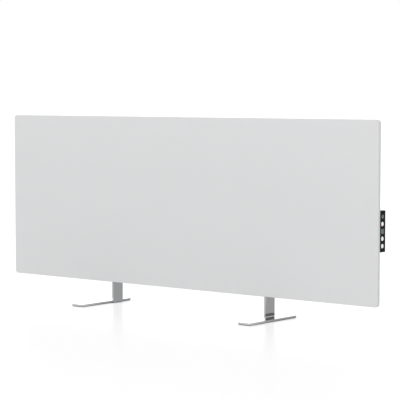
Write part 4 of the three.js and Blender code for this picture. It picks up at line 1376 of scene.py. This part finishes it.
# ---------------------------------------------------------------- studio
class Wiring(Wires):
    """The node tree of the world or the floor, from an empty start."""

    def __init__(self, tree: bpy.types.NodeTree) -> None:
        """Empties the tree and reads the kind of ray."""
        super().__init__(tree)
        tree.nodes.clear()
        self.path = self.add("ShaderNodeLightPath")

    def shader(self, kind: str, **inputs: object) -> Socket:
        """Adds a shader with its inputs, and gives its output."""
        return self.add(kind, **inputs).outputs[0]

    def mixed(self, factor: Socket | float, first: Socket, second: Socket) -> Socket:
        """Mixes two shaders."""
        node = self.tree.nodes.new("ShaderNodeMixShader")
        for socket, value in zip(node.inputs, (factor, first, second), strict=True):
            self.feed(socket, value)
        return node.outputs[0]

    def part(self, coordinate: str, axis: str) -> Socket:
        """Gives one axis of a texture coordinate."""
        where = self.add("ShaderNodeTexCoord").outputs[coordinate]
        return self.add("ShaderNodeSeparateXYZ", Vector=where).outputs[axis]

    def finish(self, shader: Socket, output: str) -> None:
        """Wires the last shader to the tree's output."""
        self.feed(self.tree.nodes.new(output).inputs["Surface"], shader)


@dataclass
class Studio:
    """The camera, the lamps, the world and the floor.

    Attributes:
        eye: Where the camera is, in metres.
        yaw: How far it is turned left from +Y, in degrees.
        pitch: How far it looks down, in degrees.
        focal: The focal length in pixels of a picture 400 pixels wide.
        picture: That picture's width in pixels.
        rise: How far the middle of the picture is above the optical axis, in pixels.
        sky: The world's level for the light that falls on the object.
        contact: How far the shade reaches where a piece stands on the floor, in metres.
        left_card: The level of the bright card that low reflections meet on the left.
        right_card: The level of the grey card that they meet on the right.
        floor_seen: The floor's level in reflections, in front of the heater and behind it.
        floor_glow: The level at which the open floor looks white.
    """

    eye: tuple[float, float, float] = (2.2713, -2.7041, 0.4697)
    yaw: float = 39.38
    pitch: float = 4.26
    focal: float = 1664.4
    picture: float = 400.0
    rise: float = 15.26
    sky: float = 0.75
    contact: float = 0.015
    left_card: float = 1.7
    right_card: float = 0.2
    floor_seen: Point = (0.85, 0.5)
    floor_glow: float = 1.095

    def build(self) -> None:
        """Builds the studio."""
        self.camera()
        self.lamps()
        self.world()
        self.floor()
        bpy.context.scene.view_settings.view_transform = "Standard"

    def camera(self) -> None:
        """Places the camera."""
        data = bpy.data.cameras.new("camera")
        data.sensor_width = 36.0
        data.lens = self.focal * data.sensor_width / self.picture
        data.shift_y = self.rise / self.picture
        data.clip_end = 200.0
        camera = bpy.data.objects.new("camera", data)
        bpy.context.scene.collection.objects.link(camera)
        camera.location = self.eye
        camera.rotation_euler = (math.radians(90 - self.pitch), 0, math.radians(self.yaw))
        bpy.context.scene.camera = camera

    def lamps(self) -> None:
        """Hangs the softboxes, each aimed at the middle of the panel."""
        target = Vector((0, 0, 0.22))
        for name, place, size, power in (
            ("key softbox", (2.7, -3.1, 2.7), 2.6, 62.0),
            ("fill softbox", (-3.2, -2.2, 1.8), 2.4, 24.0),
            ("side softbox", (4.0, 1.2, 2.2), 2.2, 20.0),
            ("rear softbox", (-1.6, 3.4, 2.6), 2.6, 30.0),
        ):
            data = bpy.data.lights.new(name, "AREA")
            data.shape = "SQUARE"
            data.size = size
            data.energy = power
            lamp = bpy.data.objects.new(name, data)
            bpy.context.scene.collection.objects.link(lamp)
            lamp.location = place
            lamp.rotation_euler = (target - Vector(place)).to_track_quat("-Z", "Y").to_euler()
            lamp.visible_camera = False
            lamp.visible_glossy = False

    def world(self) -> None:
        """Makes the world: plain white to look at, cards in reflections, and a softer level to light by."""
        world = bpy.data.worlds.new("studio")
        world.use_nodes = True
        bpy.context.scene.world = world
        tree = Wiring(world.node_tree)
        cards = tree.ranged(tree.part("Generated", "X"), -0.35, 0.35, self.left_card, self.right_card)
        room = tree.ranged(tree.part("Generated", "Z"), 0.3, 0.7, cards, 1.0)
        seen = tree.ranged(tree.path.outputs["Is Camera Ray"], 0.0, 1.0, room, 1.0)
        white = tree.shader("ShaderNodeBackground", Color=(1, 1, 1, 1), Strength=seen)
        light = tree.shader("ShaderNodeBackground", Color=(1, 1, 1, 1), Strength=self.sky)
        tree.finish(tree.mixed(looked_at(tree), light, white), "ShaderNodeOutputWorld")

    def floor(self) -> None:
        """Lays the white floor: plain to look at, with a soft shadow and a faint gloss."""
        half = 40.0
        mesh = bpy.data.meshes.new("floor")
        mesh.from_pydata(
            [(-half, -half, 0), (half, -half, 0), (half, half, 0), (-half, half, 0)], [], [(0, 1, 2, 3)])
        floor = bpy.data.objects.new("floor", mesh)
        bpy.context.scene.collection.objects.link(floor)
        material = bpy.data.materials.new("white floor")
        material.use_nodes = True
        material.cycles.emission_sampling = "NONE"
        tree = Wiring(material.node_tree)
        near = tree.add("ShaderNodeAmbientOcclusion", Distance=self.contact).outputs["AO"]
        level = tree.ranged(near, 0.0, 1.0, 0.0, self.floor_glow)
        glow = tree.shader("ShaderNodeEmission", Strength=level)
        matt = tree.shader("ShaderNodeBsdfDiffuse", Color=(0.95, 0.95, 0.95, 1))
        gloss = tree.shader("ShaderNodeBsdfGlossy", Roughness=0.25)
        plain = tree.mixed(0.2, tree.mixed(0.15, glow, matt), gloss)
        depth = tree.ranged(tree.part("Object", "Y"), -0.06, 0.0, *self.floor_seen)
        mirrored = tree.shader("ShaderNodeEmission", Strength=depth)
        lit = tree.shader("ShaderNodeBsdfDiffuse", Color=(0.8, 0.8, 0.8, 1))
        seen = tree.mixed(tree.path.outputs["Is Camera Ray"], mirrored, plain)
        tree.finish(tree.mixed(looked_at(tree), lit, seen), "ShaderNodeOutputMaterial")
        mesh.materials.append(material)


def looked_at(tree: Wiring) -> Socket:
    """Gives 1 for a ray from the camera, a reflection or a clear piece, and 0 for one that lights."""
    rays = [tree.path.outputs[f"Is {kind} Ray"] for kind in ("Camera", "Glossy", "Transmission")]
    return tree.sum(*rays, operation="MAXIMUM")


def main() -> None:
    """Builds the heater and its studio."""
    logging.basicConfig(level=logging.INFO, format="%(name)s: %(message)s")
    for part in (Studio(), FrontPanel(), RearCover(), Foot(), ControlBox(), MainsInlet(), Works()):
        part.build()
        log.info("%s done", type(part).__name__)


if __name__ == "__main__":
    main()
